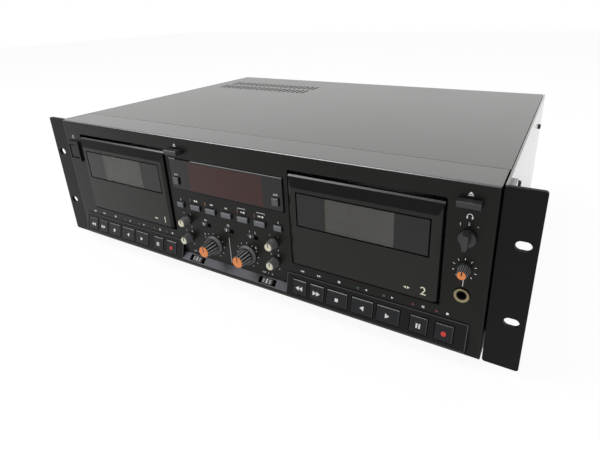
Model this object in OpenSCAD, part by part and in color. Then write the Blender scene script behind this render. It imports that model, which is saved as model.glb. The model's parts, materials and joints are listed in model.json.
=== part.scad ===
// Double cassette deck for a 19 inch rack, three units high.
// X runs along the front, Y from the front to the rear, Z up, in millimetres.
// The origin is under the middle of the whole, on the surface that the feet stand on.
// Pieces of the front are placed from the ears' front faces, at mid height of the rack panel.

/* [Rack ears] */
// Overall width across both ears
rack_w = 482.6; // [478:0.1:486]
// Height of an ear, three rack units less clearance
rack_h = 132.3; // [131:0.1:134]
// Width of an ear beside the panel
ear_w = 23.7; // [21:0.1:26]
// Thickness of the ear plate
ear_t = 3; // [2:0.1:4]
// Depth of the ear's side flange
ear_flange_d = 32; // [26:1:45]
// Corner radius of the ear
ear_r = 2; // [0.5:0.1:4]
// Distance of a mounting slot's middle from the ear's outer edge
slot_in = 8.75; // [7.5:0.05:10]
// Distance between the mounting slots up the ear
slot_pitch_z = 57.15; // [50:0.05:76.2]
// Length of a mounting slot
slot_l = 10; // [8:0.1:12]
// Height of a mounting slot
slot_h = 7; // [6:0.1:8]

/* [Cabinet] */
// Depth from the ears' faces to the back of the rear panel
cabinet_d = 313; // [305:1:330]
// Height of the ears' lower edge above the surface
stand_h = 6; // [4:0.5:10]
// Step of the cabinet's top and bottom inside the ears' edges
cabinet_inset = 0.4; // [0.2:0.1:1]
// Sheet thickness of the chassis, cover and rear panel
sheet_t = 1.5; // [1:0.1:2]
// Height of the flanges folded down at the cover's sides
cover_fold = 34; // [28:1:40]
// Height of the flange folded up at the chassis' front
fold_h = 14; // [10:1:20]
// Seam between sheet parts
seam = 0.6; // [0.3:0.1:0.9]
// Diameter of a foot
foot_d = 24; // [18:1:30]
// Distance between the feet along the front
foot_pitch_x = 370; // [320:5:390]
// Distance between the feet from front to rear
foot_pitch_y = 230; // [200:5:240]

/* [Vents] */
// Number of slots in a row
vent_n = 20; // [12:1:22]
// Distance between slots
vent_pitch = 7.1; // [6:0.1:7.5]
// Width of a slot
vent_w = 3; // [2:0.1:3.5]
// Length of a slot
vent_l = 20; // [14:1:22]
// Distance between the two rows
vent_row_pitch = 27; // [25:1:32]
// Middle of the vents across the cover
vent_x = -126.5; // [-132:0.5:-110]
// Middle of the vents from the ears' faces
vent_y = 242.5; // [200:0.5:250]

/* [Inside] */
// Width of the main board
main_board_w = 235; // [200:5:240]
// Depth of the main board
main_board_d = 170; // [150:5:175]
// Distance of the main board from the side and the rear
main_board_gap = 22; // [18:1:30]
// Height of the main board above the chassis' underside
main_board_up = 8; // [6:0.5:12]
// Height of the capacitors on the main board
capacitor_h = 18; // [12:1:24]
// Width of the transformer's core
core_w = 80; // [60:1:84]
// Depth of the transformer's core
core_d = 40; // [30:1:44]
// Height of the transformer's core
core_h = 60; // [50:1:70]
// Distance of the transformer from the rear
core_back = 56; // [52:1:60]
// Diameter of a tape motor
motor_d = 28; // [24:1:30]
// Distance of a tape motor's end from the front of its plate
motor_l = 28; // [24:1:30]

/* [Front panel] */
// Distance of the panel's face in front of the ears
panel_proud = 2; // [1:0.1:3]
// Wall thickness of the panel
panel_t = 3; // [2.6:0.1:3.4]
// Depth of the panel's top, bottom and side returns behind the ears' faces
panel_return = 31; // [28:0.5:34]
// Radius of the panel's front edges
panel_r = 2; // [1:0.1:2.4]
// Gap between the panel and the ears
panel_gap = 1.2; // [0.8:0.1:1.6]
// Running clearance around buttons and sliders
slide_gap = 0.3; // [0.2:0.05:0.4]
// Running clearance around turning shafts
turn_gap = 0.06; // [0.03:0.01:0.09]

/* [Chin with the key banks] */
// Left end of the chin
chin_left = -209; // [-211:0.5:-208]
// Right end of the left key bank
bank_right_1 = -61.2; // [-64:0.2:-60]
// Left end of the right key bank
bank_left_2 = 59; // [58:0.2:61]
// Right end of the chin
chin_right = 206.8; // [206:0.2:208]
// Height of the banks' upper edge above mid height
bank_top = -38.2; // [-39:0.1:-37.5]
// Height of the banks' lower edge above mid height
bank_low = -57.2; // [-58:0.1:-56.5]
// Height of the lip's lower edge
lip_low = -58.6; // [-59.5:0.1:-58.2]
// Distance of the bank's upper edge in front of the panel
bank_proud = 0.7; // [0.4:0.1:1]
// Tilt of the keys and their bank
key_tilt = 14; // [12:0.5:15]
// Height where the middle slope leaves the panel
slope_top = -50.5; // [-51:0.1:-50]
// Corner radius at the ends of the middle slope
slope_r = 8; // [4:0.5:9]

/* [Transport keys] */
// Width of a small key
key_w = 12.8; // [12:0.1:13]
// Width of the stop and play keys
play_key_w = 18; // [17:0.1:18.2]
// Length of a key up the bank
key_l = 12.6; // [12:0.1:12.6]
// Distance of a key above the bank's lower edge
key_foot = 2.5; // [2:0.1:2.5]
// Height of a key's face above the bank
key_proud = 0.8; // [0.6:0.1:1.2]
// Gap around a key
key_gap = 0.5; // [0.4:0.05:0.55]
// Travel of a key
key_travel = 1; // [0.8:0.1:1.4]
// Offset of the left bank's keys from the right bank's keys
key_pitch = 268; // [267:0.1:269]

/* [Cassette doors] */
// Distance between the two decks
deck_pitch = 254; // [252:0.5:255]
// Middle of the front layout across the panel
layout_x = -2.5; // [-3.5:0.1:-2]
// Width of a door
door_w = 120; // [118:0.5:121]
// Height of a door
door_h = 78; // [77:0.5:79]
// Middle of a door above mid height
door_z = 11.2; // [10.5:0.05:12]
// Distance of a door's face in front of the panel
door_proud = 3; // [2.4:0.1:3.6]
// Gap around a door
door_gap = 1.2; // [0.9:0.1:1.5]
// Added room above a door, where its top swings out
door_head = 1.9; // [1:0.1:2.4]
// Skin thickness of a door
door_t = 2.4; // [2:0.1:3]
// Height of the sloping band along a door's top
door_slope_h = 9.5; // [8:0.5:11]
// Width of the bevel down a door's sides
door_bevel = 3.5; // [2.5:0.1:4.5]
// Width of a door's window
window_w = 104; // [100:0.5:106]
// Height of a door's window
window_h = 28; // [24:0.5:30]
// Middle of the window above mid height
window_z = 23; // [22:0.1:24]
// Thickness of a window
window_t = 1.6; // [1.2:0.1:1.8]
// Width of the ledge that a window sits on
window_ledge = 2; // [1.5:0.1:3]
// Gap around a window
window_gap = 0.6; // [0.3:0.05:0.8]
// Diameter of a door's hinge pins
hinge_d = 1.8; // [1.5:0.1:2]

/* [Cassette holder and reels] */
// Width of a cassette
cassette_w = 100.4; // [100:0.1:101]
// Thickness of a cassette
cassette_t = 12; // [11.6:0.1:12.4]
// Height of the shelf that a cassette stands on
shelf_z = -18; // [-19:0.1:-17]
// Height of the holder's side guides
holder_h = 54; // [46:1:56]
// Distance between the two reel spindles
reel_pitch = 42.5; // [42:0.1:43]
// Height of the spindles above the shelf
reel_up = 35; // [33:0.5:37]
// Diameter of a reel table
reel_d = 25; // [20:0.5:28]
// Diameter of a spindle
spindle_d = 8.4; // [7:0.1:9]
// Diameter of the pins that the reels turn on
reel_pin_d = 2; // [1.6:0.1:2.6]

/* [Display] */
// Width of the display window
display_w = 123.2; // [121:0.2:124]
// Height of the display window
display_h = 29.5; // [28:0.1:31]
// Middle of the display window above mid height
display_z = 31.05; // [30:0.05:31.5]
// Distance of the display window in front of the panel
display_proud = 0.9; // [0.5:0.1:1.4]
// Thickness of the display window
display_t = 2; // [1.6:0.1:2.4]
// Width of the display tube behind the window
tube_w = 80; // [70:0.5:84]
// Height of the display tube
tube_h = 25; // [20:0.5:26]

/* [Push buttons] */
// Distance of the side button columns from the layout's middle
column_x = 54.4; // [54:0.1:55]
// Distance between the mode buttons
mode_pitch = 18.1; // [17.5:0.1:18.4]
// Width of a mode button
mode_w = 11; // [10:0.1:12]
// Width of a return to zero button
zero_w = 7.6; // [6.5:0.1:8]
// Height of the mode buttons
mode_h = 4.7; // [4:0.1:5.5]
// Height of the mode row above mid height
mode_z = 0.7; // [0:0.1:1.5]
// Width of a counter reset button
reset_w = 6.2; // [5.5:0.1:7]
// Height of a counter reset button
reset_h = 6.6; // [5.5:0.1:7.5]
// Height of the reset buttons above mid height
reset_z = 24.7; // [24:0.1:26]
// Distance of the mode buttons in front of the panel
button_proud = 2.1; // [1.6:0.1:3]
// Travel of the mode and reset buttons
button_travel = 1; // [0.6:0.1:1.2]
// Width of an eject button
eject_w = 15; // [13:0.1:16]
// Height of an eject button
eject_h = 4.2; // [3.6:0.1:5]
// Distance of an eject button from its deck's middle
eject_x = 74.8; // [74:0.1:76]
// Height of the eject buttons above mid height
eject_z = 52.8; // [52:0.1:54]
// Distance of the eject buttons in front of the panel
eject_proud = 6.8; // [5.5:0.1:8]
// Travel of the eject buttons
eject_travel = 4; // [2:0.1:4.5]
// Width of the power switch's frame
power_frame_w = 17; // [16:0.1:18]
// Height of the power switch's frame
power_frame_h = 22; // [20:0.1:24]
// Distance of the frame in front of the panel
power_proud = 2.3; // [1.6:0.1:3]
// Middle of the power switch across the panel
power_x = -203; // [-203.6:0.1:-202]
// Middle of the power switch above mid height
power_z = 34; // [32:0.1:36]
// Width of the power button
power_w = 11.5; // [10:0.1:12]
// Height of the power button
power_h = 13.5; // [12:0.1:15]
// Gap around the power button
power_gap = 0.7; // [0.4:0.05:0.8]
// Travel of the power button
power_travel = 3; // [2:0.1:3.5]

/* [Indicator lights] */
// Width of a mode light
mode_led_w = 1.5; // [1.2:0.1:2]
// Height of a mode light
mode_led_h = 3; // [2.4:0.1:3.4]
// Height of the mode lights above mid height
mode_led_z = 7; // [6.5:0.1:7.6]
// Diameter of a light above the keys
key_led_d = 2.4; // [1.8:0.1:2.8]
// Height of the lights above the keys
key_led_z = -34.4; // [-35:0.1:-33]
// Distance of the lights in front of the panel
led_proud = 0.3; // [0.1:0.1:0.6]

/* [Knobs] */
// Distance of the small knobs from the layout's middle
small_knob_x = 49; // [48:0.1:49.5]
// Height of the pitch knobs above mid height
pitch_z = -14.3; // [-15:0.1:-13.5]
// Height of the record balance knobs above mid height
balance_z = -32.4; // [-33:0.1:-31.5]
// Length of a small knob
small_knob_l = 8.8; // [7.5:0.1:10]
// Diameter of a small knob's foot
small_knob_d = 10; // [9:0.1:10.5]
// Distance of the input knobs from the layout's middle
input_x = 19.2; // [19:0.1:20]
// Height of the input knobs above mid height
input_z = -33.7; // [-34.2:0.1:-33]
// Length of an input knob
input_l = 14.4; // [12:0.1:16]
// Diameter of an input knob's skirt
skirt_d = 18.6; // [16:0.1:19]
// Thickness of an input knob's skirt
skirt_t = 3; // [2:0.1:4]
// Diameter of an input knob's grip where it leaves the skirt
input_d = 13; // [12:0.1:14]
// Width of a knob's tip against the foot of its grip
taper = 0.84; // [0.8:0.01:0.95]
// Middle of the headphone controls across the panel
phones_x = 200; // [199.5:0.1:200.4]
// Height of the headphone selector above mid height
selector_z = 28.2; // [27.5:0.1:29]
// Diameter of the selector's disc
selector_d = 11.2; // [10:0.1:12]
// Length of the selector
selector_l = 10; // [8:0.1:11]
// Height of the headphone level knob above mid height
level_z = 4.7; // [4:0.1:6]
// Length of the headphone level knob
level_l = 9; // [8:0.1:10]
// Diameter of the headphone level knob's foot
level_d = 9.5; // [9:0.1:10]
// Diameter of the shafts
shaft_d = 4; // [3:0.1:4.4]
// Depth of the flutes around a knob
flute = 0.35; // [0.2:0.05:0.5]
// Width of the pointer groove in a knob's cap
pointer_w = 1; // [0.6:0.1:1.4]

/* [Slide switches] */
// Length of a slide switch's slot
slot_switch_l = 12; // [11:0.1:13]
// Height of a slide switch's slot
slot_switch_h = 4; // [3.4:0.1:5]
// Width of the lever
lever_w = 6.8; // [5.5:0.1:7.4]
// Distance between the slide switches
switch_pitch = 26.6; // [26:0.1:27]
// Height of the slide switches above mid height
switch_z = -14.3; // [-15:0.1:-13.5]
// Middle of the left noise reduction switch across the panel
nr_x_1 = -43.3; // [-44:0.1:-42]
// Middle of the right noise reduction switch across the panel
nr_x_2 = 38; // [37:0.1:39]
// Length of a noise reduction slot
nr_slot_l = 18; // [17:0.1:20]
// Height of a noise reduction slot along the slope
nr_slot_h = 5.6; // [5:0.1:6]
// Width of a noise reduction lever
nr_lever_w = 11; // [10:0.1:12]

/* [Sockets] */
// Height of the headphone socket above mid height
phones_z = -15.8; // [-17:0.1:-15]
// Bore of the headphone socket
phones_bore = 6.4; // [6.3:0.05:6.6]
// Diameter of the headphone socket's ring
phones_ring = 10.6; // [9.8:0.1:12]
// Depth of the headphone socket
phones_depth = 28; // [24:1:30]
// Diameter of a line socket's sleeve
line_d = 8.3; // [8:0.1:8.6]
// Distance that the line sockets stand out at the rear
line_out = 10; // [8:0.5:12]
// Thickness of a line socket's ring outside the rear panel
line_ring_t = 1; // [0.6:0.1:2]
// Distance between line sockets
line_pitch = 16; // [14:0.5:18]

/* [Hidden] */
$fn = 48;
eps = 0.01;
panel_w = rack_w - 2 * (ear_w + panel_gap);
panel_h = rack_h - 2 * cabinet_inset;
panel_y = -panel_proud;
// Widths and places across the front follow the panel's width
drawn_w = 432.8;
wide = panel_w / drawn_w;
fit_chin_left = chin_left * wide;
fit_bank_right_1 = bank_right_1 * wide;
fit_bank_left_2 = bank_left_2 * wide;
fit_chin_right = chin_right * wide;
fit_key_w = key_w * wide;
fit_play_key_w = play_key_w * wide;
fit_key_pitch = key_pitch * wide;
fit_deck_pitch = deck_pitch * wide;
fit_layout_x = layout_x * wide;
fit_door_w = door_w * wide;
fit_window_w = window_w * wide;
fit_display_w = display_w * wide;
fit_tube_w = tube_w * wide;
fit_column_x = column_x * wide;
fit_mode_pitch = mode_pitch * wide;
fit_mode_w = mode_w * wide;
fit_zero_w = zero_w * wide;
fit_reset_w = reset_w * wide;
fit_eject_w = eject_w * wide;
fit_eject_x = eject_x * wide;
fit_power_x = power_x * wide;
fit_small_knob_x = small_knob_x * wide;
fit_input_x = input_x * wide;
fit_phones_x = phones_x * wide;
fit_switch_pitch = switch_pitch * wide;
fit_slot_switch_l = slot_switch_l * wide;
fit_lever_w = lever_w * wide;
fit_nr_x_1 = nr_x_1 * wide;
fit_nr_x_2 = nr_x_2 * wide;
fit_nr_slot_l = nr_slot_l * wide;
fit_nr_lever_w = nr_lever_w * wide;
fit_foot_pitch_x = foot_pitch_x * wide;
fit_vent_x = vent_x * wide;
fit_vent_pitch = vent_pitch * wide;
wall_y = panel_y + panel_t;
wall_x = panel_w / 2 + panel_gap;
top_z = panel_h / 2;
knob_gap = 0.4;
front_out = panel_proud + knob_gap + input_l;
face_y = (front_out - cabinet_d - line_out) / 2;
mid_z = stand_h + rack_h / 2;
deck_x = [fit_layout_x - fit_deck_pitch / 2, fit_layout_x + fit_deck_pitch / 2];
// Flanges that hold a button behind the panel
flange_t = 1.2;
flange_out = 1;
edge = 0.5;
button_end = wall_y + slide_gap + flange_t + 4;
switch_top = button_end + button_travel + slide_gap;
// Sheet cover, behind the panel's return
cover_y = panel_return + seam;
cover_w = 2 * (wall_x - seam);
side_screws = [82, 270];
// Board behind the middle of the panel
board_y = 15;
board_t = 1.6;
board_w = 2 * fit_column_x + 8;
board_top = display_z + display_h / 2;
board_low = -46;
post_d = 5;
// Lights: places of the mode lights from the layout's middle, and of the key lights in the right bank
mode_leds = [for (x = [-42.2, -24.2, 12.5, 30.8]) x * wide];
key_leds = [for (x = [123.4, 144.7, 167.1, 184.4]) x * wide];
led_board_y = 7;
// Key bank
bank_drop = bank_top - bank_low;
lip_proud = bank_proud + bank_drop * tan(key_tilt);
bank_low_y = panel_y - lip_proud;
bank_wall = panel_t / cos(key_tilt);
bank_in = (bank_drop - panel_t) / cos(key_tilt) - panel_t * tan(key_tilt);
slope_a = 45;
slope_out_z = slope_top - lip_proud;
key_board = 14;
key_mid = key_foot + key_l / 2;
// Keys of the right bank: name, middle and width
KEYS = [
  ["rewind", 71.5 * wide, fit_key_w],
  ["fast_forward", 88 * wide, fit_key_w],
  ["stop", 106.4 * wide, fit_play_key_w],
  ["reverse_play", 128.15 * wide, fit_play_key_w],
  ["play", 149.2 * wide, fit_play_key_w],
  ["pause", 172.8 * wide, fit_key_w],
  ["record", 191.2 * wide, fit_key_w],
];
// Door
door_face = panel_y - door_proud;
door_low = door_z - door_h / 2;
door_top = door_z + door_h / 2;
hinge_y = (panel_y + wall_y) / 2;
hinge_z = door_low + 1.7;
hinge_l = 2.2;
holder_t = 2.2;
cassette_gap = 0.8;
holder_x = cassette_w / 2 + cassette_gap;
cassette_y = 2;
holder_back = cassette_y + cassette_t + cassette_gap;
// Tape mechanism
reel_z = shelf_z + reel_up;
spindle_tip = 8;
reel_y = holder_back + holder_t + 1.2;
reel_t = 2.4;
plate_y = reel_y + reel_t + 1.2;
plate_t = 1.6;
latch_y = button_end + eject_travel + slide_gap;
mech_post_x = fit_door_w / 2 + door_gap + 2.8;
capstan_x = 23;
capstan_z = shelf_z + 1.5;
// Knobs and their controls
bushing_d = shaft_d + 2.4;
control_y = 8;
control_d = 11.5;
cap_t = 1.2;
cap_gap = 0.04;
pointer_t = 0.4;
shaft_in = control_y + 2 + knob_gap - panel_y;
// Slide switches
switch_travel = fit_slot_switch_l - fit_lever_w - 2 * slide_gap;
nr_travel = (fit_nr_slot_l - fit_nr_lever_w) / 2 - slide_gap;
nr_switch = panel_t + 2.5;
// Rear
rear_y = cabinet_d - sheet_t;
line_rows = [-14, 4];
line_cols = [40 * wide, 40 * wide + line_pitch, 90 * wide, 90 * wide + line_pitch];
inlet_x = -150 * wide;
inlet_z = -25;
inlet_w = 27;
inlet_h = 19.5;
inlet_d = 22;
screw_d = 3;
head_d = 6;
head_t = 2;

// Frame of the front: the ears' front faces, at mid height
module at_front() {
  translate([0, face_y, mid_z]) children();
}

// Frame of a key bank: Z runs up the tilted bank from the sill, Y into it
module at_bank() {
  translate([0, bank_low_y, bank_low]) rotate([-key_tilt, 0, 0]) children();
}

// Frame of the middle slope: origin on its mid line, Y into it
module at_slope() {
  translate([0, panel_y - lip_proud / 2, slope_top - lip_proud / 2])
    rotate([-slope_a, 0, 0]) children();
}

// A side profile in Y and Z, drawn out along X
module along_x(x0, x1) {
  translate([x0, 0, 0]) rotate([90, 0, 90]) linear_extrude(x1 - x0) children();
}

// A front outline in X and Z, drawn out along Y
module along_y(y0, y1) {
  translate([0, y1, 0]) rotate([90, 0, 0]) linear_extrude(y1 - y0) children();
}

module round_rect(w, h, r) {
  square([w - 2 * r, h], center = true);
  square([w, h - 2 * r], center = true);
  for (x = [-1, 1], y = [-1, 1])
    translate([x * (w / 2 - r), y * (h / 2 - r)]) circle(r);
}

// A box between two corners
module box(a, b) {
  translate(a) cube(b - a);
}

module rod_y(y0, y1, d) {
  translate([0, y0, 0]) rotate([-90, 0, 0]) cylinder(h = y1 - y0, d = d);
}

module rod_x(x0, x1, d) {
  translate([x0, 0, 0]) rotate([0, 90, 0]) cylinder(h = x1 - x0, d = d);
}

// Outline of a box whose two front edges are rounded, front at y = 0
module round_front(d, w, r) {
  translate([-w / 2, r]) square([w, d - r]);
  translate([-w / 2 + r, 0]) square([w - 2 * r, r]);
  for (s = [-1, 1])
    translate([s * (w / 2 - r), r]) circle(r);
}

module panel_shell() {
  difference() {
    intersection() {
      translate([0, panel_y, -top_z]) linear_extrude(panel_h)
        round_front(panel_return - panel_y, panel_w, panel_r);
      along_x(-panel_w / 2, panel_w / 2)
        translate([panel_y, 0]) rotate(-90) mirror([1, 0])
          round_front(panel_return - panel_y, panel_h, panel_r);
    }
    box([-panel_w / 2 + panel_t, wall_y, -top_z + panel_t],
        [panel_w / 2 - panel_t, panel_return + 1, top_z - panel_t]);
  }
}

// Side profile of a key bank with its lip
module bank_profile() {
  polygon([
    [wall_y, bank_top],
    [panel_y - bank_proud, bank_top],
    [bank_low_y, bank_low],
    [bank_low_y, lip_low],
    [panel_y, -top_z + panel_r],
    [wall_y, -top_z + panel_r],
  ]);
}

module bank_hollow() {
  in_top = bank_top - panel_t;
  in_top_y = bank_low_y + (in_top - bank_low) * tan(key_tilt) + bank_wall;
  polygon([
    [wall_y + 1, in_top],
    [in_top_y, in_top],
    [bank_low_y + bank_wall, bank_low],
    [bank_low_y + bank_wall, lip_low],
    [wall_y + 1, lip_low],
  ]);
}

// Side profile of the middle slope that carries the noise reduction switches
module slope_profile() {
  polygon([
    [wall_y, slope_top],
    [panel_y, slope_top],
    [panel_y - lip_proud, slope_out_z],
    [panel_y - lip_proud, lip_low],
    [panel_y, -top_z + panel_r],
    [wall_y, -top_z + panel_r],
  ]);
}

module slope_hollow() {
  in_z = slope_top - panel_t * sqrt(2);
  polygon([
    [wall_y + 1, in_z + wall_y + 1 - panel_y],
    [panel_y - lip_proud + panel_t, in_z - lip_proud + panel_t],
    [panel_y - lip_proud + panel_t, lip_low],
    [panel_y, lip_low - 2],
    [wall_y + 1, lip_low - 2],
  ]);
}

module chin() {
  along_x(fit_chin_left, fit_bank_right_1) bank_profile();
  along_x(fit_bank_right_1 - eps, fit_bank_left_2 + eps) slope_profile();
  along_x(fit_bank_left_2, fit_chin_right) bank_profile();
}

module chin_hollows() {
  along_x(fit_chin_left + panel_t, fit_bank_right_1 - panel_t) bank_hollow();
  along_x(fit_bank_right_1 + panel_t / 2, fit_bank_left_2 - panel_t / 2) slope_hollow();
  along_x(fit_bank_left_2 + panel_t, fit_chin_right - panel_t) bank_hollow();
}

// Rounded hollows where the slope meets the panel at both of its ends
module slope_corners() {
  for (s = [[fit_bank_right_1, 1], [fit_bank_left_2, -1]])
    translate([s[0], 0, slope_top]) mirror([s[1] < 0 ? 1 : 0, 0, 0])
      along_y(panel_y - eps, panel_y + 1) difference() {
        translate([0.6, 0]) square(slope_r);
        translate([slope_r + 0.6, slope_r]) circle(slope_r);
      }
}

module door_openings() {
  for (x = deck_x)
    translate([x, 0, 0]) {
      translate([0, 0, door_z + door_head / 2]) along_y(panel_y - 1, wall_y + 1)
        round_rect(fit_door_w + 2 * door_gap, door_h + 2 * door_gap + door_head, 1.5);
      translate([0, hinge_y, hinge_z])
        rod_x(-fit_door_w / 2 - door_gap - hinge_l, fit_door_w / 2 + door_gap + hinge_l,
              hinge_d + 2 * turn_gap);
    }
}

module panel_hole(x, z, w, h, gap = slide_gap) {
  translate([x, 0, z]) along_y(panel_y - 10, wall_y + 1)
    square([w + 2 * gap, h + 2 * gap], center = true);
}

module round_hole(x, z, d) {
  translate([x, 0, z]) rod_y(panel_y - 1, wall_y + 1, d);
}

module button_holes() {
  for (i = [-2 : 2]) panel_hole(fit_layout_x + i * fit_mode_pitch, mode_z, fit_mode_w, mode_h);
  for (s = [-1, 1]) {
    panel_hole(fit_layout_x + s * fit_column_x, mode_z, fit_zero_w, mode_h);
    panel_hole(fit_layout_x + s * fit_column_x, reset_z, fit_reset_w, reset_h);
  }
  for (x = deck_x) panel_hole(x + fit_eject_x, eject_z, fit_eject_w, eject_h);
  panel_hole(fit_power_x, power_z, power_w, power_h, power_gap);
  for (i = [-1 : 1])
    panel_hole(fit_layout_x + i * fit_switch_pitch, switch_z, fit_slot_switch_l, slot_switch_h, 0);
}

module led_holes() {
  for (x = mode_leds) translate([fit_layout_x + x, 0, mode_led_z]) along_y(panel_y - 1, wall_y + 1)
    square([mode_led_w + 2 * turn_gap, mode_led_h + 2 * turn_gap], center = true);
  for (x = key_leds, s = [0, 1])
    round_hole(x - s * fit_key_pitch, key_led_z, key_led_d + 2 * turn_gap);
}

module control_holes() {
  d = bushing_d + 2 * slide_gap;
  for (s = [-1, 1]) {
    round_hole(fit_layout_x + s * fit_small_knob_x, pitch_z, d);
    round_hole(fit_layout_x + s * fit_small_knob_x, balance_z, d);
    round_hole(fit_layout_x + s * fit_input_x, input_z, d);
  }
  round_hole(fit_phones_x, selector_z, d);
  round_hole(fit_phones_x, level_z, d);
  round_hole(fit_phones_x, phones_z, phones_ring + 2 * turn_gap);
}

// Recess that the display window lies in, and the opening for the tube
module display_seat() {
  translate([fit_layout_x, 0, display_z]) {
    along_y(panel_y - 1, panel_y + display_t - display_proud)
      square([fit_display_w + 2 * slide_gap, display_h + 2 * slide_gap], center = true);
    along_y(panel_y, wall_y + 1) square([fit_tube_w + 2, tube_h + 1], center = true);
  }
}

function key_x(deck, i) = KEYS[i][1] - (deck == 1 ? fit_key_pitch : 0);

module key_holes() {
  at_bank() for (deck = [1, 2], i = [0 : len(KEYS) - 1])
    translate([key_x(deck, i), 0, key_mid]) along_y(-10, 8)
      square([KEYS[i][2] + 2 * key_gap, key_l + 2 * key_gap], center = true);
}

module slope_slots() {
  at_slope() for (x = [fit_nr_x_1, fit_nr_x_2])
    translate([x, 0, 0]) along_y(-4, panel_t + 1.5) square([fit_nr_slot_l, nr_slot_h], center = true);
}

module front_panel() {
  color("dimgray") at_front() difference() {
    union() {
      panel_shell();
      chin();
      translate([fit_power_x, 0, power_z]) along_y(panel_y - power_proud, wall_y)
        round_rect(power_frame_w, power_frame_h, 1);
    }
    chin_hollows();
    slope_corners();
    door_openings();
    button_holes();
    control_holes();
    led_holes();
    display_seat();
    key_holes();
    slope_slots();
  }
}

module vent_slots() {
  for (row = [-1, 1], i = [0 : vent_n - 1])
    translate([fit_vent_x + (i - (vent_n - 1) / 2) * fit_vent_pitch,
               vent_y + row * vent_row_pitch / 2, top_z])
      cube([vent_w, vent_l, 4 * sheet_t], center = true);
}

module top_cover() {
  color("darkslategray") at_front() difference() {
    union() {
      box([-cover_w / 2, cover_y, top_z - sheet_t], [cover_w / 2, cabinet_d, top_z]);
      for (s = [0, 1]) mirror([s, 0, 0])
        box([cover_w / 2 - sheet_t, cover_y, top_z - cover_fold], [cover_w / 2, rear_y - seam, top_z]);
    }
    vent_slots();
    side_screw_places() rod_x(-8, 1, screw_d + 0.4);
  }
}

module side_screw_places() {
  for (s = [0, 1], y = side_screws) mirror([s, 0, 0])
    translate([wall_x + sheet_t, y, top_z - cover_fold + head_d]) children();
}

module chassis() {
  color("gray") at_front() difference() {
    union() {
      box([-wall_x - sheet_t, cover_y, -top_z], [wall_x + sheet_t, cabinet_d, -top_z + sheet_t]);
      for (s = [0, 1]) mirror([s, 0, 0])
        box([wall_x, ear_t, -top_z], [wall_x + sheet_t, cabinet_d, top_z]);
      box([-wall_x + seam, cover_y, -top_z], [wall_x - seam, cover_y + sheet_t, -top_z + fold_h]);
    }
    side_screw_places() rod_x(-5, 5, screw_d + 0.4);
  }
}

module line_places() {
  for (x = line_cols, z = line_rows) translate([x, 0, z]) children();
}

module rear_panel() {
  color("gray") at_front() difference() {
    box([-wall_x + seam, rear_y, -top_z + sheet_t + seam / 2],
        [wall_x - seam, cabinet_d, top_z - sheet_t - seam / 2]);
    line_places() rod_y(rear_y - 1, cabinet_d + 1, line_d + 0.8);
    translate([inlet_x, 0, inlet_z]) along_y(rear_y - 1, cabinet_d + 1)
      square([inlet_w + 0.6, inlet_h + 0.6], center = true);
  }
}

module rack_ear(side) {
  outer = rack_w / 2;
  at_front() mirror([side < 0 ? 1 : 0, 0, 0]) difference() {
    union() {
      translate([(wall_x + outer) / 2, 0, 0]) along_y(0, ear_t)
        round_rect(outer - wall_x, rack_h, ear_r);
      box([wall_x + sheet_t, 0.5, -rack_h / 2 + 6],
          [wall_x + sheet_t + ear_t, ear_flange_d, rack_h / 2 - 6]);
    }
    for (z = [-1, 1])
      translate([outer - slot_in, 0, z * slot_pitch_z / 2]) along_y(-1, ear_t + 1)
        round_rect(slot_l, slot_h, slot_h / 2 - eps);
  }
}

module left_rack_ear() {
  color("black") rack_ear(-1);
}

module right_rack_ear() {
  color("black") rack_ear(1);
}

module foot_places() {
  at_front() for (x = [-1, 1], y = [-1, 1])
    translate([x * fit_foot_pitch_x / 2, cabinet_d / 2 + 10 + y * foot_pitch_y / 2, 0]) children();
}

module feet() {
  h = stand_h + cabinet_inset;
  color("black") foot_places() translate([0, 0, -mid_z]) rotate_extrude() difference() {
    polygon([[0, 0.8], [foot_d / 2 - 4, 0.8], [foot_d / 2 - 4, 0], [foot_d / 2 - 2, 0],
             [foot_d / 2, h], [0, h]]);
    translate([0, -1]) square([head_d / 2 + 1, h - 2]);
  }
}

// A pan head screw along X, its head outside
module screw_x(l) {
  rod_x(-l, 0.02, screw_d);
  rotate([0, 90, 0]) difference() {
    cylinder(h = head_t, d1 = head_d, d2 = head_d - 1.2);
    for (a = [0, 90]) rotate(a) translate([0, 0, head_t]) cube([3.4, 0.7, 1.4], center = true);
  }
}

module screws() {
  color("black") {
    at_front() side_screw_places() screw_x(2 * sheet_t + seam + 1);
    at_front() for (x = [-1, 1], z = [-1, 1])
      translate([x * (wall_x - 12), cabinet_d, z * (top_z - 12)]) rotate([0, 0, 90]) screw_x(0);
  }
}

// Window glass that lies in the panel's recess, with holes for the reset buttons
module display_window() {
  color("darkred", 0.6) at_front() translate([fit_layout_x, 0, display_z]) difference() {
    intersection() {
      along_y(panel_y - display_proud, panel_y - display_proud + display_t)
        square([fit_display_w, display_h], center = true);
      along_x(-fit_display_w / 2, fit_display_w / 2) polygon([
        [panel_y - display_proud, -display_h / 2 + edge],
        [panel_y - display_proud, display_h / 2 - edge],
        [panel_y - display_proud + edge, display_h / 2],
        [panel_y + display_t, display_h / 2],
        [panel_y + display_t, -display_h / 2],
        [panel_y - display_proud + edge, -display_h / 2],
      ]);
    }
    for (s = [-1, 1])
      translate([s * fit_column_x, 0, reset_z - display_z]) along_y(panel_y - 2, wall_y)
        square([fit_reset_w + 2 * slide_gap, reset_h + 2 * slide_gap], center = true);
  }
}

// Potentiometer or rotary switch with the bushing that its shaft turns in
module control(x, z) {
  translate([x, 0, z]) difference() {
    union() {
      rod_y(wall_y - 1.5, control_y + eps, bushing_d);
      rod_y(control_y, board_y + eps, control_d);
    }
    rod_y(wall_y - 2, control_y + 3, shaft_d + 2 * turn_gap);
  }
}

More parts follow.
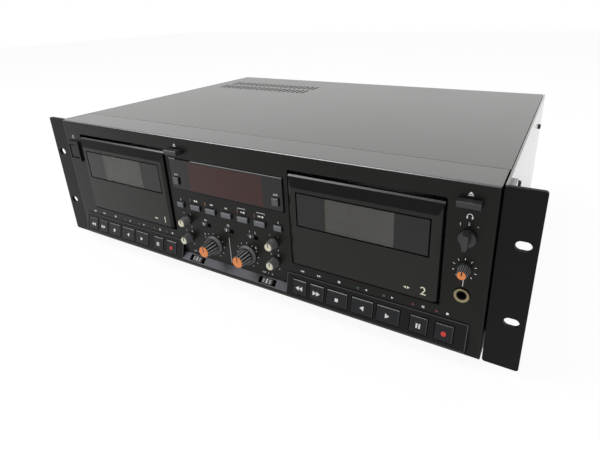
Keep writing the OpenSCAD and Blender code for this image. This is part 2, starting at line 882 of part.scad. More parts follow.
module switch_body(x, z, y0, w, h) {
  translate([x, 0, z]) along_y(y0, board_y + eps) square([w, h], center = true);
}

// Lights above the keys of one deck, on a narrow board hung on two posts
module key_lights(deck) {
  shift = deck == 1 ? -fit_key_pitch : 0;
  first = key_leds[0] + shift;
  last = key_leds[len(key_leds) - 1] + shift;
  for (x = key_leds)
    translate([x + shift, 0, key_led_z]) rod_y(panel_y - led_proud, led_board_y + eps, key_led_d);
  box([first - 12, led_board_y, key_led_z - 2.5], [last + 12, led_board_y + board_t, key_led_z + 2.5]);
  for (x = [first - 9, last + 9])
    translate([x, 0, key_led_z]) rod_y(wall_y, led_board_y + eps, 3.4);
}

module control_board() {
  translate([fit_layout_x, 0, (board_top + board_low) / 2]) along_y(board_y, board_y + board_t)
    square([board_w, board_top - board_low], center = true);
  translate([fit_layout_x, 0, display_z]) along_y(wall_y + 0.6, board_y + eps)
    square([fit_tube_w, tube_h], center = true);
  for (s = [-1, 1]) {
    control(fit_layout_x + s * fit_small_knob_x, pitch_z);
    control(fit_layout_x + s * fit_small_knob_x, balance_z);
    control(fit_layout_x + s * fit_input_x, input_z);
    switch_body(fit_layout_x + s * fit_column_x, mode_z, switch_top, 6, 6);
    switch_body(fit_layout_x + s * fit_column_x, reset_z, switch_top, 6, 6);
    for (z = [board_low + 4, board_top - 4, 12])
      translate([fit_layout_x + s * (board_w / 2 - 3), 0, z]) rod_y(wall_y, board_y + eps, post_d);
  }
  for (i = [-2 : 2]) switch_body(fit_layout_x + i * fit_mode_pitch, mode_z, switch_top, 6, 6);
  for (i = [-1 : 1])
    switch_body(fit_layout_x + i * fit_switch_pitch, switch_z, control_y, fit_slot_switch_l + 2, 6);
  for (x = mode_leds)
    translate([fit_layout_x + x, 0, mode_led_z]) along_y(panel_y - led_proud, board_y + eps)
      square([mode_led_w, mode_led_h], center = true);
}

module phones_board() {
  translate([fit_phones_x, 0, 17]) along_y(board_y, board_y + board_t) square([13, 44], center = true);
  control(fit_phones_x, selector_z);
  control(fit_phones_x, level_z);
  translate([fit_phones_x, 0, 16.5]) rod_y(wall_y, board_y + eps, post_d);
}

module power_board() {
  rear = power_travel + button_end + slide_gap;
  translate([fit_power_x, 0, power_z]) {
    along_y(board_y, board_y + board_t) square([10, power_frame_h + 12], center = true);
    along_y(rear, board_y + 18) square([9, power_h], center = true);
    for (s = [-1, 1])
      translate([0, 0, s * (power_frame_h / 2 + 3)]) rod_y(wall_y, board_y + eps, post_d);
  }
}

// Long board behind the two key banks, in the banks' frame
module key_boards() {
  at_bank() for (deck = [1, 2]) {
    x0 = (deck == 1 ? fit_chin_left : fit_bank_left_2) + panel_t + 1.1;
    x1 = (deck == 1 ? fit_bank_right_1 : fit_chin_right) - panel_t - 1.1;
    middle = (key_x(deck, 4) + KEYS[4][2] / 2 + key_x(deck, 5) - KEYS[5][2] / 2) / 2;
    box([x0 - 2, key_board, 0], [x1 + 2, key_board + board_t, key_l + 1]);
    for (i = [0 : len(KEYS) - 1])
      translate([key_x(deck, i), 0, key_mid]) along_y(key_board - 3, key_board + eps)
        square([6, 6], center = true);
    for (x = [x0, middle, x1])
      translate([x, 0, key_mid]) rod_y(panel_t, key_board + eps, 2);
  }
}

// Switches under the slope, each hung on two posts behind it
module slope_switches() {
  at_slope() for (x = [fit_nr_x_1, fit_nr_x_2])
    translate([x, 0, 0]) {
      box([-fit_nr_slot_l / 2 - 4, nr_switch, -1.5], [fit_nr_slot_l / 2 + 4, nr_switch + 2.5, 3]);
      for (s = [-1, 1])
        translate([s * (fit_nr_slot_l / 2 + 2.5), 0, 0.5]) rod_y(panel_t, nr_switch + eps, 2.6);
    }
}

module main_board() {
  right = wall_x - main_board_gap;
  left = right - main_board_w * wide;
  rear = rear_y - main_board_gap;
  front = rear - main_board_d;
  up = -top_z + main_board_up;
  box([left, front, up], [right, rear, up + board_t]);
  for (x = [left + 6, (left + right) / 2, right - 6], y = [front + 6, rear - 6])
    translate([x, y, -top_z + sheet_t]) cylinder(h = main_board_up - sheet_t + eps, d = 6);
  for (i = [1 : 5], y = [front + 30, front + 80, rear - 40])
    translate([left + (right - left) * i / 6, y, up]) cylinder(h = capacitor_h, d = 11);
  // Heat sink
  box([left + 60 * wide, rear - 75, up], [right - 45 * wide, rear - 71, up + capacitor_h + 6]);
}

module circuit_boards() {
  color("seagreen") at_front() {
    control_board();
    phones_board();
    power_board();
    key_lights(1);
    key_lights(2);
    key_boards();
    slope_switches();
    main_board();
  }
}

// Core in its clamp, with the winding through it and a foot at each end
module power_transformer() {
  color("silver") at_front()
    translate([-140 * wide, rear_y - core_d - core_back, -top_z + sheet_t]) {
      box([-core_w / 2, -core_d / 2, 4], [core_w / 2, core_d / 2, 4 + core_h]);
      box([-core_w / 4, -core_d / 2 - 14, 12], [core_w / 4, core_d / 2 + 14, core_h - 4]);
      for (s = [-1, 1])
        box([s * core_w / 2 - 10, -core_d / 2, 0], [s * core_w / 2 + 10, core_d / 2, 4 + eps]);
    }
}

// Sleeve with a ring outside the rear panel and a body inside it, round an insulated middle hole
module line_socket() {
  difference() {
    union() {
      rod_y(cabinet_d, cabinet_d + line_out, line_d);
      rod_y(rear_y - 1, cabinet_d + line_ring_t / 2, line_d + 0.4);
      rod_y(cabinet_d + 0.02, cabinet_d + line_ring_t, line_d + 3.7);
      rod_y(rear_y - 8, rear_y - 0.02, line_d + 4.7);
    }
    rod_y(cabinet_d - 2, cabinet_d + line_out + 1, line_d - 1.6);
  }
  difference() {
    rod_y(cabinet_d - 1.96, cabinet_d + line_out - 1, line_d - 1.7);
    rod_y(cabinet_d, cabinet_d + line_out, 3.2);
  }
}

module phones_socket() {
  translate([fit_phones_x, 0, phones_z]) difference() {
    union() {
      rod_y(panel_y - 1, wall_y + 2, phones_ring);
      along_y(wall_y + eps, wall_y + phones_depth) square([13, 13], center = true);
    }
    rod_y(panel_y - 2, panel_y - 1 + phones_depth, phones_bore);
  }
}

module mains_inlet() {
  translate([inlet_x, 0, inlet_z]) {
    difference() {
      union() {
        along_y(cabinet_d - inlet_d, cabinet_d + 1) square([inlet_w, inlet_h], center = true);
        along_y(cabinet_d + 0.02, cabinet_d + 2) round_rect(inlet_w + 14, inlet_h + 4, 3);
      }
      along_y(cabinet_d - inlet_d + 3, cabinet_d + 3) round_rect(inlet_w - 3, inlet_h - 3, 1.5);
    }
    for (p = [[0, 4], [-7, -1], [7, -1]])
      translate([p[0], 0, p[1]]) along_y(cabinet_d - inlet_d + 2.9, cabinet_d - 4)
        square([2, 4], center = true);
  }
}

module jack_sockets() {
  color("goldenrod") at_front() {
    phones_socket();
    line_places() line_socket();
    mains_inlet();
  }
}

// Plate with the reel pins, heads, capstans and drive of one deck
module tape_mechanism() {
  translate([0, 0, door_z - 2]) along_y(plate_y, plate_y + plate_t)
    square([2 * mech_post_x + post_d, door_h - 2], center = true);
  for (x = [-1, 1], z = [door_low + 6, door_top - 2])
    translate([x * mech_post_x, 0, z]) rod_y(wall_y, plate_y + eps, post_d - 0.4);
  for (s = [-1, 1]) {
    translate([s * reel_pitch / 2, 0, reel_z]) rod_y(spindle_tip + 2, plate_y + eps, reel_pin_d);
    translate([s * capstan_x, 0, capstan_z]) {
      rod_y(cassette_y + 2, plate_y + plate_t + 4, 2.2);
      rod_y(plate_y + plate_t + 1, plate_y + plate_t + 7, 36);
    }
    translate([s * capstan_x, 0, capstan_z - 6.5]) {
      rod_y(cassette_y + 4, cassette_y + 11, 9);
      rod_y(cassette_y + 10, plate_y + eps, 3);
    }
  }
  // Head block on its bridge
  along_x(-8, 8) polygon([
    [cassette_y + 3, shelf_z - 8], [cassette_y + 3, shelf_z - 2], [cassette_y + 5, shelf_z - 0.5],
    [cassette_y + 9, shelf_z - 0.5], [cassette_y + 11, shelf_z - 2], [cassette_y + 11, shelf_z - 8],
  ]);
  box([-17, cassette_y + 2, shelf_z - 9.5], [17, plate_y + eps, shelf_z - 7.9]);
  translate([0, 0, reel_z + 14]) {
    rod_y(plate_y + plate_t - eps, plate_y + motor_l, motor_d);
    rod_y(plate_y + motor_l - eps, plate_y + motor_l + 6, 6);
  }
  // Bar that the eject button pushes, on the upper right post
  box([mech_post_x - 2, latch_y, eject_z - 2.5], [fit_eject_x + 4, latch_y + 2, eject_z + 1.5]);
}

module tape_mechanisms() {
  color("slategray") at_front() for (x = deck_x) translate([x, 0, 0]) tape_mechanism();
}

// Door shell: side profile crossed with the plan outline
module door_skin() {
  top_y = panel_y - 0.8;
  side_y = panel_y - 1;
  difference() {
    intersection() {
      along_x(-fit_door_w / 2, fit_door_w / 2) polygon([
        [wall_y, door_low], [door_face + 1.2, door_low], [door_face, door_low + 1.2],
        [door_face, door_top - door_slope_h], [top_y, door_top - 1.2], [top_y + 1.2, door_top],
        [wall_y, door_top],
      ]);
      translate([0, 0, door_low]) linear_extrude(door_h) polygon([
        [-fit_door_w / 2, wall_y], [-fit_door_w / 2, side_y], [-fit_door_w / 2 + door_bevel, door_face],
        [fit_door_w / 2 - door_bevel, door_face], [fit_door_w / 2, side_y], [fit_door_w / 2, wall_y],
      ]);
    }
    box([-fit_door_w / 2 + door_bevel, door_face + door_t, door_low + 4.5],
        [fit_door_w / 2 - door_bevel, wall_y + 1, door_top - door_slope_h]);
    translate([0, 0, window_z]) {
      along_y(door_face - 1, door_face + window_t + 0.1)
        square([fit_window_w + 2 * window_gap, window_h + 2 * window_gap], center = true);
      along_y(door_face, wall_y)
        square([fit_window_w - 2 * window_ledge, window_h - 2 * window_ledge], center = true);
    }
  }
}

// Guides and shelf that hold the cassette behind the door, for one side
module holder_side() {
  y0 = door_face + door_t - 0.2;
  y1 = holder_back + holder_t;
  box([holder_x, y0, shelf_z - holder_t], [holder_x + holder_t, y1, shelf_z + holder_h]);
  box([holder_x - 5, holder_back, shelf_z - holder_t], [holder_x + eps, y1, shelf_z + holder_h]);
  box([holder_x - 11, y0, shelf_z - holder_t], [holder_x + eps, y1, shelf_z]);
}

module cassette_door(deck) {
  at_front() translate([deck_x[deck - 1], 0, 0]) {
    door_skin();
    for (s = [0, 1]) mirror([s, 0, 0]) holder_side();
    for (s = [0, 1]) mirror([s, 0, 0]) translate([0, hinge_y, hinge_z])
      rod_x(fit_door_w / 2 - 1, fit_door_w / 2 + door_gap + hinge_l - 0.3, hinge_d);
  }
}

module cassette_door_1() {
  color("dimgray") cassette_door(1);
}

module cassette_door_2() {
  color("dimgray") cassette_door(2);
}

module door_window(deck) {
  color("lightgray", 0.5) at_front() translate([deck_x[deck - 1], 0, window_z])
    along_y(door_face + 0.1, door_face + 0.1 + window_t)
      square([fit_window_w, window_h], center = true);
}

module door_window_1() {
  door_window(1);
}

module door_window_2() {
  door_window(2);
}

// Reel table with a three winged spindle, turning on the mechanism's pin
module reel(deck, side) {
  color("ivory") at_front() translate([deck_x[deck - 1] + side * reel_pitch / 2, 0, reel_z])
    difference() {
      union() {
        rod_y(reel_y, reel_y + reel_t, reel_d);
        rod_y(spindle_tip + 1.5, reel_y + eps, spindle_d - 2.4);
        translate([0, spindle_tip + 1.5 + eps, 0]) rotate([90, 0, 0])
          cylinder(h = 1.5, d1 = spindle_d - 2.4, d2 = spindle_d - 4.4);
        for (a = [90, 210, 330]) rotate([0, -a, 0])
          along_x(0, spindle_d / 2) polygon([
            [spindle_tip + 2, -0.7], [spindle_tip + 2, 0.7], [reel_y + eps, 0.7], [reel_y + eps, -0.7],
          ]);
      }
      rod_y(spindle_tip + 1.9, reel_y + reel_t + 1, reel_pin_d + 2 * turn_gap);
    }
}

module supply_reel_1() {
  reel(1, -1);
}

module takeup_reel_1() {
  reel(1, 1);
}

module supply_reel_2() {
  reel(2, -1);
}

module takeup_reel_2() {
  reel(2, 1);
}

// Block with its front edges taken off, front face at y0
module soft_block(y0, y1, w, h) {
  intersection() {
    along_y(y0, y1) square([w, h], center = true);
    along_x(-w / 2, w / 2) polygon([
      [y0, -h / 2 + edge], [y0, h / 2 - edge], [y0 + edge, h / 2], [y1, h / 2], [y1, -h / 2],
      [y0 + edge, -h / 2],
    ]);
    translate([0, 0, -h / 2]) linear_extrude(h) polygon([
      [-w / 2 + edge, y0], [w / 2 - edge, y0], [w / 2, y0 + edge], [w / 2, y1], [-w / 2, y1],
      [-w / 2, y0 + edge],
    ]);
  }
}

// Button with the flange that keeps it behind the panel, and its plunger
module push_button(x, z, w, h, proud) {
  flange_y = wall_y + slide_gap;
  at_front() translate([x, 0, z]) {
    soft_block(panel_y - proud, flange_y + eps, w, h);
    along_y(flange_y, flange_y + flange_t)
      square([w + 2 * flange_out, h + 2 * flange_out], center = true);
    rod_y(flange_y + flange_t - eps, button_end, 3);
  }
}

module power_button() {
  color("black") push_button(fit_power_x, power_z, power_w, power_h, power_proud - 0.4);
}

module eject_button_1() {
  color("slategray") push_button(deck_x[0] + fit_eject_x, eject_z, fit_eject_w, eject_h, eject_proud);
}

module eject_button_2() {
  color("slategray") push_button(deck_x[1] + fit_eject_x, eject_z, fit_eject_w, eject_h, eject_proud);
}

module reset_button(side) {
  color("slategray")
    push_button(fit_layout_x + side * fit_column_x, reset_z, fit_reset_w, reset_h,
                display_proud + button_proud);
}

module reset_button_1() {
  reset_button(-1);
}

module reset_button_2() {
  reset_button(1);
}

module mode_button(i) {
  color("lightslategray")
    push_button(fit_layout_x + i * fit_mode_pitch, mode_z, fit_mode_w, mode_h, button_proud);
}

module zero_button(side) {
  color("lightslategray")
    push_button(fit_layout_x + side * fit_column_x, mode_z, fit_zero_w, mode_h, button_proud);
}

module return_to_zero_button_1() {
  zero_button(-1);
}

module dual_record_button() {
  mode_button(-2);
}

module sync_reverse_button() {
  mode_button(-1);
}

module cps_button() {
  mode_button(0);
}

module dub_normal_button() {
  mode_button(1);
}

module dub_high_speed_button() {
  mode_button(2);
}

module return_to_zero_button_2() {
  zero_button(1);
}

// Transport key: tilted face, flange behind the bank and plunger
module transport_key(deck, i) {
  w = KEYS[i][2];
  reach = w / 2 + key_gap + 0.3;
  flange_y = panel_t + slide_gap;
  color("darkslategray") at_front() at_bank() translate([key_x(deck, i), 0, key_mid]) {
    soft_block(-key_proud, flange_y + eps, w, key_l);
    box([-reach, flange_y, -key_l / 2 - key_gap],
        [reach, flange_y + flange_t, bank_in - key_mid - slide_gap]);
    rod_y(flange_y + flange_t - eps, key_board - 3 - key_travel - slide_gap, 4);
  }
}

module rewind_key_1() {
  transport_key(1, 0);
}

module fast_forward_key_1() {
  transport_key(1, 1);
}

module stop_key_1() {
  transport_key(1, 2);
}

module reverse_play_key_1() {
  transport_key(1, 3);
}

module play_key_1() {
  transport_key(1, 4);
}

module pause_key_1() {
  transport_key(1, 5);
}

module record_key_1() {
  transport_key(1, 6);
}

module rewind_key_2() {
  transport_key(2, 0);
}

module fast_forward_key_2() {
  transport_key(2, 1);
}

module stop_key_2() {
  transport_key(2, 2);
}

module reverse_play_key_2() {
  transport_key(2, 3);
}

module play_key_2() {
  transport_key(2, 4);
}

module pause_key_2() {
  transport_key(2, 5);
}

module record_key_2() {
  transport_key(2, 6);
}

// Outline of a fluted grip
module fluted(d, n) {
  polygon([for (i = [0 : 4 * n - 1])
    let (r = d / 2 - (i % 4 < 2 ? 0 : flute), a = (i + (i % 2) * 0.2) * 90 / n)
    [r * cos(a), r * sin(a)]]);
}

// Frame of a knob: Z runs out of the panel
module at_knob(x, z) {
  at_front() translate([x, panel_y - knob_gap, z]) rotate([90, 0, 0]) children();
}

// Knob with a sloping foot, fluted and tapering grip, coloured cap and its shaft
module knob(x, z, foot_d, foot_t, grip_d, l, flutes, cap) {
  cap_d = (grip_d - 2 * flute) * taper - 0.5;
  at_knob(x, z) {
    color("black") difference() {
      union() {
        cylinder(h = foot_t, d1 = foot_d, d2 = foot_d - foot_t / 2);
        linear_extrude(l - cap_t / 2, scale = taper) fluted(grip_d, flutes);
      }
      translate([0, 0, l - cap_t]) cylinder(h = cap_t + 1, d = cap_d + 2 * cap_gap);
      translate([0, 0, -1]) cylinder(h = l - cap_t - 0.6, d = shaft_d + 2 * cap_gap);
    }
    color(cap) difference() {
      translate([0, 0, l - cap_t + cap_gap]) cylinder(h = cap_t - cap_gap, d = cap_d);
      translate([-pointer_w / 2, 0, l - pointer_t]) cube([pointer_w, cap_d, 1]);
    }
    color("silver") translate([0, 0, -shaft_in]) cylinder(h = shaft_in + l - cap_t - 2, d = shaft_d);
  }
}

module small_knob(side, z) {
  knob(fit_layout_x + side * fit_small_knob_x, z, small_knob_d, 1.2, small_knob_d - 1, small_knob_l, 18,
       "ivory");
}

module pitch_knob_1() {
  small_knob(-1, pitch_z);
}

module pitch_knob_2() {
  small_knob(1, pitch_z);
}

module record_balance_knob_1() {
  small_knob(-1, balance_z);
}

module record_balance_knob_2() {
  small_knob(1, balance_z);
}

module input_knob_1() {
  knob(fit_layout_x - fit_input_x, input_z, skirt_d, skirt_t, input_d, input_l, 24, "darkorange");
}

module input_knob_2() {
  knob(fit_layout_x + fit_input_x, input_z, skirt_d, skirt_t, input_d, input_l, 24, "darkorange");
}

module phones_level_knob() {
  knob(fit_phones_x, level_z, level_d, 1.2, level_d - 1.6, level_l, 16, "darkorange");
}

// Selector: disc with a bar across it that tapers towards the front and towards its lower end
module phones_selector_knob() {
  disc_t = 3;
  at_knob(fit_phones_x, selector_z) {
    color("dimgray") difference() {
      union() {
        cylinder(h = disc_t, d = selector_d);
        intersection() {
          translate([0, 0, disc_t - eps]) cylinder(h = selector_l - disc_t, d = selector_d);
          rotate([90, 0, 0]) translate([0, 0, -selector_d / 2]) linear_extrude(selector_d) polygon([
            [-2.9, disc_t - 1], [2.9, disc_t - 1], [1.9, selector_l], [-1.9, selector_l],
          ]);
          linear_extrude(selector_l) polygon([
            [-3, selector_d / 2 + 1], [3, selector_d / 2 + 1], [3, 2], [1.3, 1.2 - selector_d / 2],
            [0.6, 0.4 - selector_d / 2], [-0.6, 0.4 - selector_d / 2], [-1.3, 1.2 - selector_d / 2], [-3, 2],
          ]);
        }
      }
      translate([0, 0, -1]) cylinder(h = selector_l - 2, d = shaft_d + 2 * cap_gap);
    }
    color("silver") translate([0, 0, -shaft_in]) cylinder(h = shaft_in + selector_l - 4, d = shaft_d);
  }
}

// Slide switch lever, at the left end of its slot
module slider(i) {
  rest = -switch_travel / 2;
  flange_y = wall_y + slide_gap;
  color("gray") at_front() translate([fit_layout_x + i * fit_switch_pitch + rest, 0, switch_z]) {
    soft_block(panel_y - 0.4, flange_y + eps, fit_lever_w, slot_switch_h - 2 * slide_gap);
    along_y(flange_y, flange_y + 1) square([fit_lever_w + 4, slot_switch_h + 1.4], center = true);
    along_y(flange_y + 1 - eps, control_y - slide_gap) square([3, 2], center = true);
  }
}

module reverse_mode_slider() {
  slider(-1);
}

module timer_slider() {
  slider(0);
}

module input_output_slider() {
  slider(1);
}

// Lever on the middle slope, at the middle of its slot
module nr_slider(x) {
  color("gray") at_front() at_slope() translate([x, 0, 0]) {
    soft_block(-1, panel_t + slide_gap + eps, fit_nr_lever_w, nr_slot_h - 2 * slide_gap);
    box([-fit_nr_lever_w / 2, panel_t + slide_gap, -nr_slot_h / 2 + slide_gap],
        [fit_nr_lever_w / 2, panel_t + slide_gap + 1, nr_slot_h / 2 + 0.8]);
    along_y(panel_t + slide_gap + 1 - eps, nr_switch - slide_gap) square([3, 2], center = true);
  }
}

module noise_reduction_slider_1() {
  nr_slider(fit_nr_x_1);
}

module noise_reduction_slider_2() {
  nr_slider(fit_nr_x_2);
}

front_panel();
top_cover();
chassis();
rear_panel();
left_rack_ear();
right_rack_ear();
feet();
screws();
display_window();
circuit_boards();
power_transformer();
jack_sockets();
tape_mechanisms();
cassette_door_1();
door_window_1();
supply_reel_1();
takeup_reel_1();
cassette_door_2();
door_window_2();
supply_reel_2();
takeup_reel_2();
power_button();
eject_button_1();
eject_button_2();
reset_button_1();
reset_button_2();
return_to_zero_button_1();
dual_record_button();
sync_reverse_button();
cps_button();
dub_normal_button();
dub_high_speed_button();
return_to_zero_button_2();
rewind_key_1();
fast_forward_key_1();
stop_key_1();
reverse_play_key_1();
play_key_1();
pause_key_1();
record_key_1();
rewind_key_2();
fast_forward_key_2();
stop_key_2();
reverse_play_key_2();
play_key_2();
pause_key_2();
record_key_2();
pitch_knob_1();
pitch_knob_2();
record_balance_knob_1();
record_balance_knob_2();
input_knob_1();
input_knob_2();
phones_selector_knob();
phones_level_knob();
reverse_mode_slider();
timer_slider();
input_output_slider();
noise_reduction_slider_1();
noise_reduction_slider_2();
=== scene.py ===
import json
import math

import bpy
from mathutils import Matrix, Vector


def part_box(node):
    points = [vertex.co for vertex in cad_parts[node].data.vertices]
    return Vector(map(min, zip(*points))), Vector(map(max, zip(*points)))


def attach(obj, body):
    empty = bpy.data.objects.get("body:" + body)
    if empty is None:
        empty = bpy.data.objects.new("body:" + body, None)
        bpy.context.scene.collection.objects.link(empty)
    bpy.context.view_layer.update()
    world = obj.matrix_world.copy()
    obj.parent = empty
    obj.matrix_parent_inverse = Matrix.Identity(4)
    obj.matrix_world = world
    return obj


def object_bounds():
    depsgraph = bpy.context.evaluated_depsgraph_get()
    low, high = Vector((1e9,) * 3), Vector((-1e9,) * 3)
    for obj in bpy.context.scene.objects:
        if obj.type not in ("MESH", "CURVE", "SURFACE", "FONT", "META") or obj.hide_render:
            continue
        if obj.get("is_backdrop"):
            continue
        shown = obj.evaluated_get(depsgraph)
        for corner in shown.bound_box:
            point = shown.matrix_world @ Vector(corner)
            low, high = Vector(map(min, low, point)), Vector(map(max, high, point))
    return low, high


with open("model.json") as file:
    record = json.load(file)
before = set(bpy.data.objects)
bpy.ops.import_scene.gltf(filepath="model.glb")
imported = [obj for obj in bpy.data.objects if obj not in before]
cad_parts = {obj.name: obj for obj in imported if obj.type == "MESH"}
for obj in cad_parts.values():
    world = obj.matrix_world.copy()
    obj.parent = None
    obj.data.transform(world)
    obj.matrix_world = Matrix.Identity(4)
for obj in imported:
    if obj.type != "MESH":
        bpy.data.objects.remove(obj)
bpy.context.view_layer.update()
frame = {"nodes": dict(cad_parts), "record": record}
nodes = frame["nodes"]
bpy.ops.object.select_all(action="DESELECT")

mm = 0.001
earLow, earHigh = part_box("right_rack_ear")
print("frame loaded:", len(nodes), "nodes")


def spot(x, y, z):
    # millimetres from the middle of the rack ears' front face
    return Vector((x * mm, earLow.y + y * mm, (earLow.z + earHigh.z) / 2 + z * mm))


class Wire:
    # one socket of a finish, so that masks are written as plain maths
    def __init__(self, tree, socket=None):
        self.tree = tree
        self.socket = socket

    def node(self, kind, inputs=None, settings=None, out=0):
        made = self.tree.nodes.new(kind)
        for name, value in (settings or {}).items():
            setattr(made, name, value)
        for name, value in (inputs or {}).items():
            if isinstance(value, Wire):
                self.tree.links.new(value.socket, made.inputs[name])
            else:
                made.inputs[name].default_value = value
        return Wire(self.tree, made.outputs[out] if len(made.outputs) else None)

    def maths(self, operation, first, second):
        return self.node("ShaderNodeMath", {0: first, 1: second}, {"operation": operation})

    def __add__(self, other):
        return self.maths("ADD", self, other)

    def __sub__(self, other):
        return self.maths("SUBTRACT", self, other)

    def __mul__(self, other):
        return self.maths("MULTIPLY", self, other)

    def __abs__(self):
        return self.maths("ABSOLUTE", self, 0.0)

    def __lt__(self, other):
        return self.maths("LESS_THAN", self, other)

    def __gt__(self, other):
        return self.maths("GREATER_THAN", self, other)


def newFinish(name):
    finish = bpy.data.materials.new(name)
    finish.use_nodes = True
    finish.node_tree.nodes.clear()
    return finish, Wire(finish.node_tree)


def closeFinish(start, skin):
    start.node("ShaderNodeOutputMaterial", {"Surface": skin})


def mixSkins(start, share, first, second):
    return start.node("ShaderNodeMixShader", {0: share, 1: first, 2: second})


def tint(share, first, second):
    inputs = {0: share, 6: first, 7: second}
    return share.node("ShaderNodeMix", inputs, {"data_type": "RGBA"}, 2)


def shade(value):
    # a grey, or a colour, as the four numbers a socket takes
    return (value,) * 3 + (1.0,) if isinstance(value, float) else (*value, 1.0)


driftLevels = (0.8, 1.2)


def drift(share, colour):
    # a colour that drifts a little darker and lighter
    parts = shade(colour)[:3]
    return tint(share, *(shade(tuple(part * level for part in parts)) for level in driftLevels))


def roughen(share, level, spread):
    # roughness that varies round a level
    return share * spread + (level - spread / 2)


noiseLook = {"roughness": 0.6}


def noise(start, scale, detail):
    place = start.node("ShaderNodeTexCoord", out="Object")
    inputs = {"Vector": place, "Scale": scale, "Detail": detail,
              "Roughness": noiseLook["roughness"]}
    return start.node("ShaderNodeTexNoise", inputs)


def axisOf(start, axis):
    place = start.node("ShaderNodeTexCoord", out="Object")
    return start.node("ShaderNodeSeparateXYZ", {"Vector": place}, out=axis)


# what a finish has unless its row says otherwise; edge in millimetres, depth in metres
finishBase = {
    "cloud": 22.0, "cloudDetail": 5.0, "spread": 0.08, "metal": 0.0, "gloss": 0.5,
    "varnish": 0.0, "varnishRough": 0.12,
    "grain": 3000.0, "grainDetail": 2.0, "bump": 0.1, "depth": 0.0002,
    "edge": 0.25, "edgeSamples": 4,
}


def relief(start, look):
    # fine surface grain over edges that are softened by a fraction of a millimetre
    look = {**finishBase, **look}
    soft = start.node("ShaderNodeBevel", {"Radius": look["edge"] * mm},
                      {"samples": look["edgeSamples"]})
    grain = noise(start, look["grain"], look["grainDetail"])
    inputs = {"Strength": look["bump"], "Distance": look["depth"], "Height": grain, "Normal": soft}
    return start.node("ShaderNodeBump", inputs)


def coatSkin(start, look):
    look = {**finishBase, **look}
    cloud = noise(start, look["cloud"], look["cloudDetail"])
    skin = start.node("ShaderNodeBsdfPrincipled", {
        "Base Color": tint(cloud, shade(look["dark"]), shade(look["light"])),
        "Roughness": roughen(cloud, look["rough"], look["spread"]),
        "Metallic": look["metal"],
        "Specular IOR Level": look["gloss"],
        "Coat Weight": look["varnish"],
        "Coat Roughness": look["varnishRough"],
        "Normal": relief(start, look),
    })
    return skin, cloud


def coat(name, look):
    finish, start = newFinish(name)
    closeFinish(start, coatSkin(start, look)[0])
    return finish


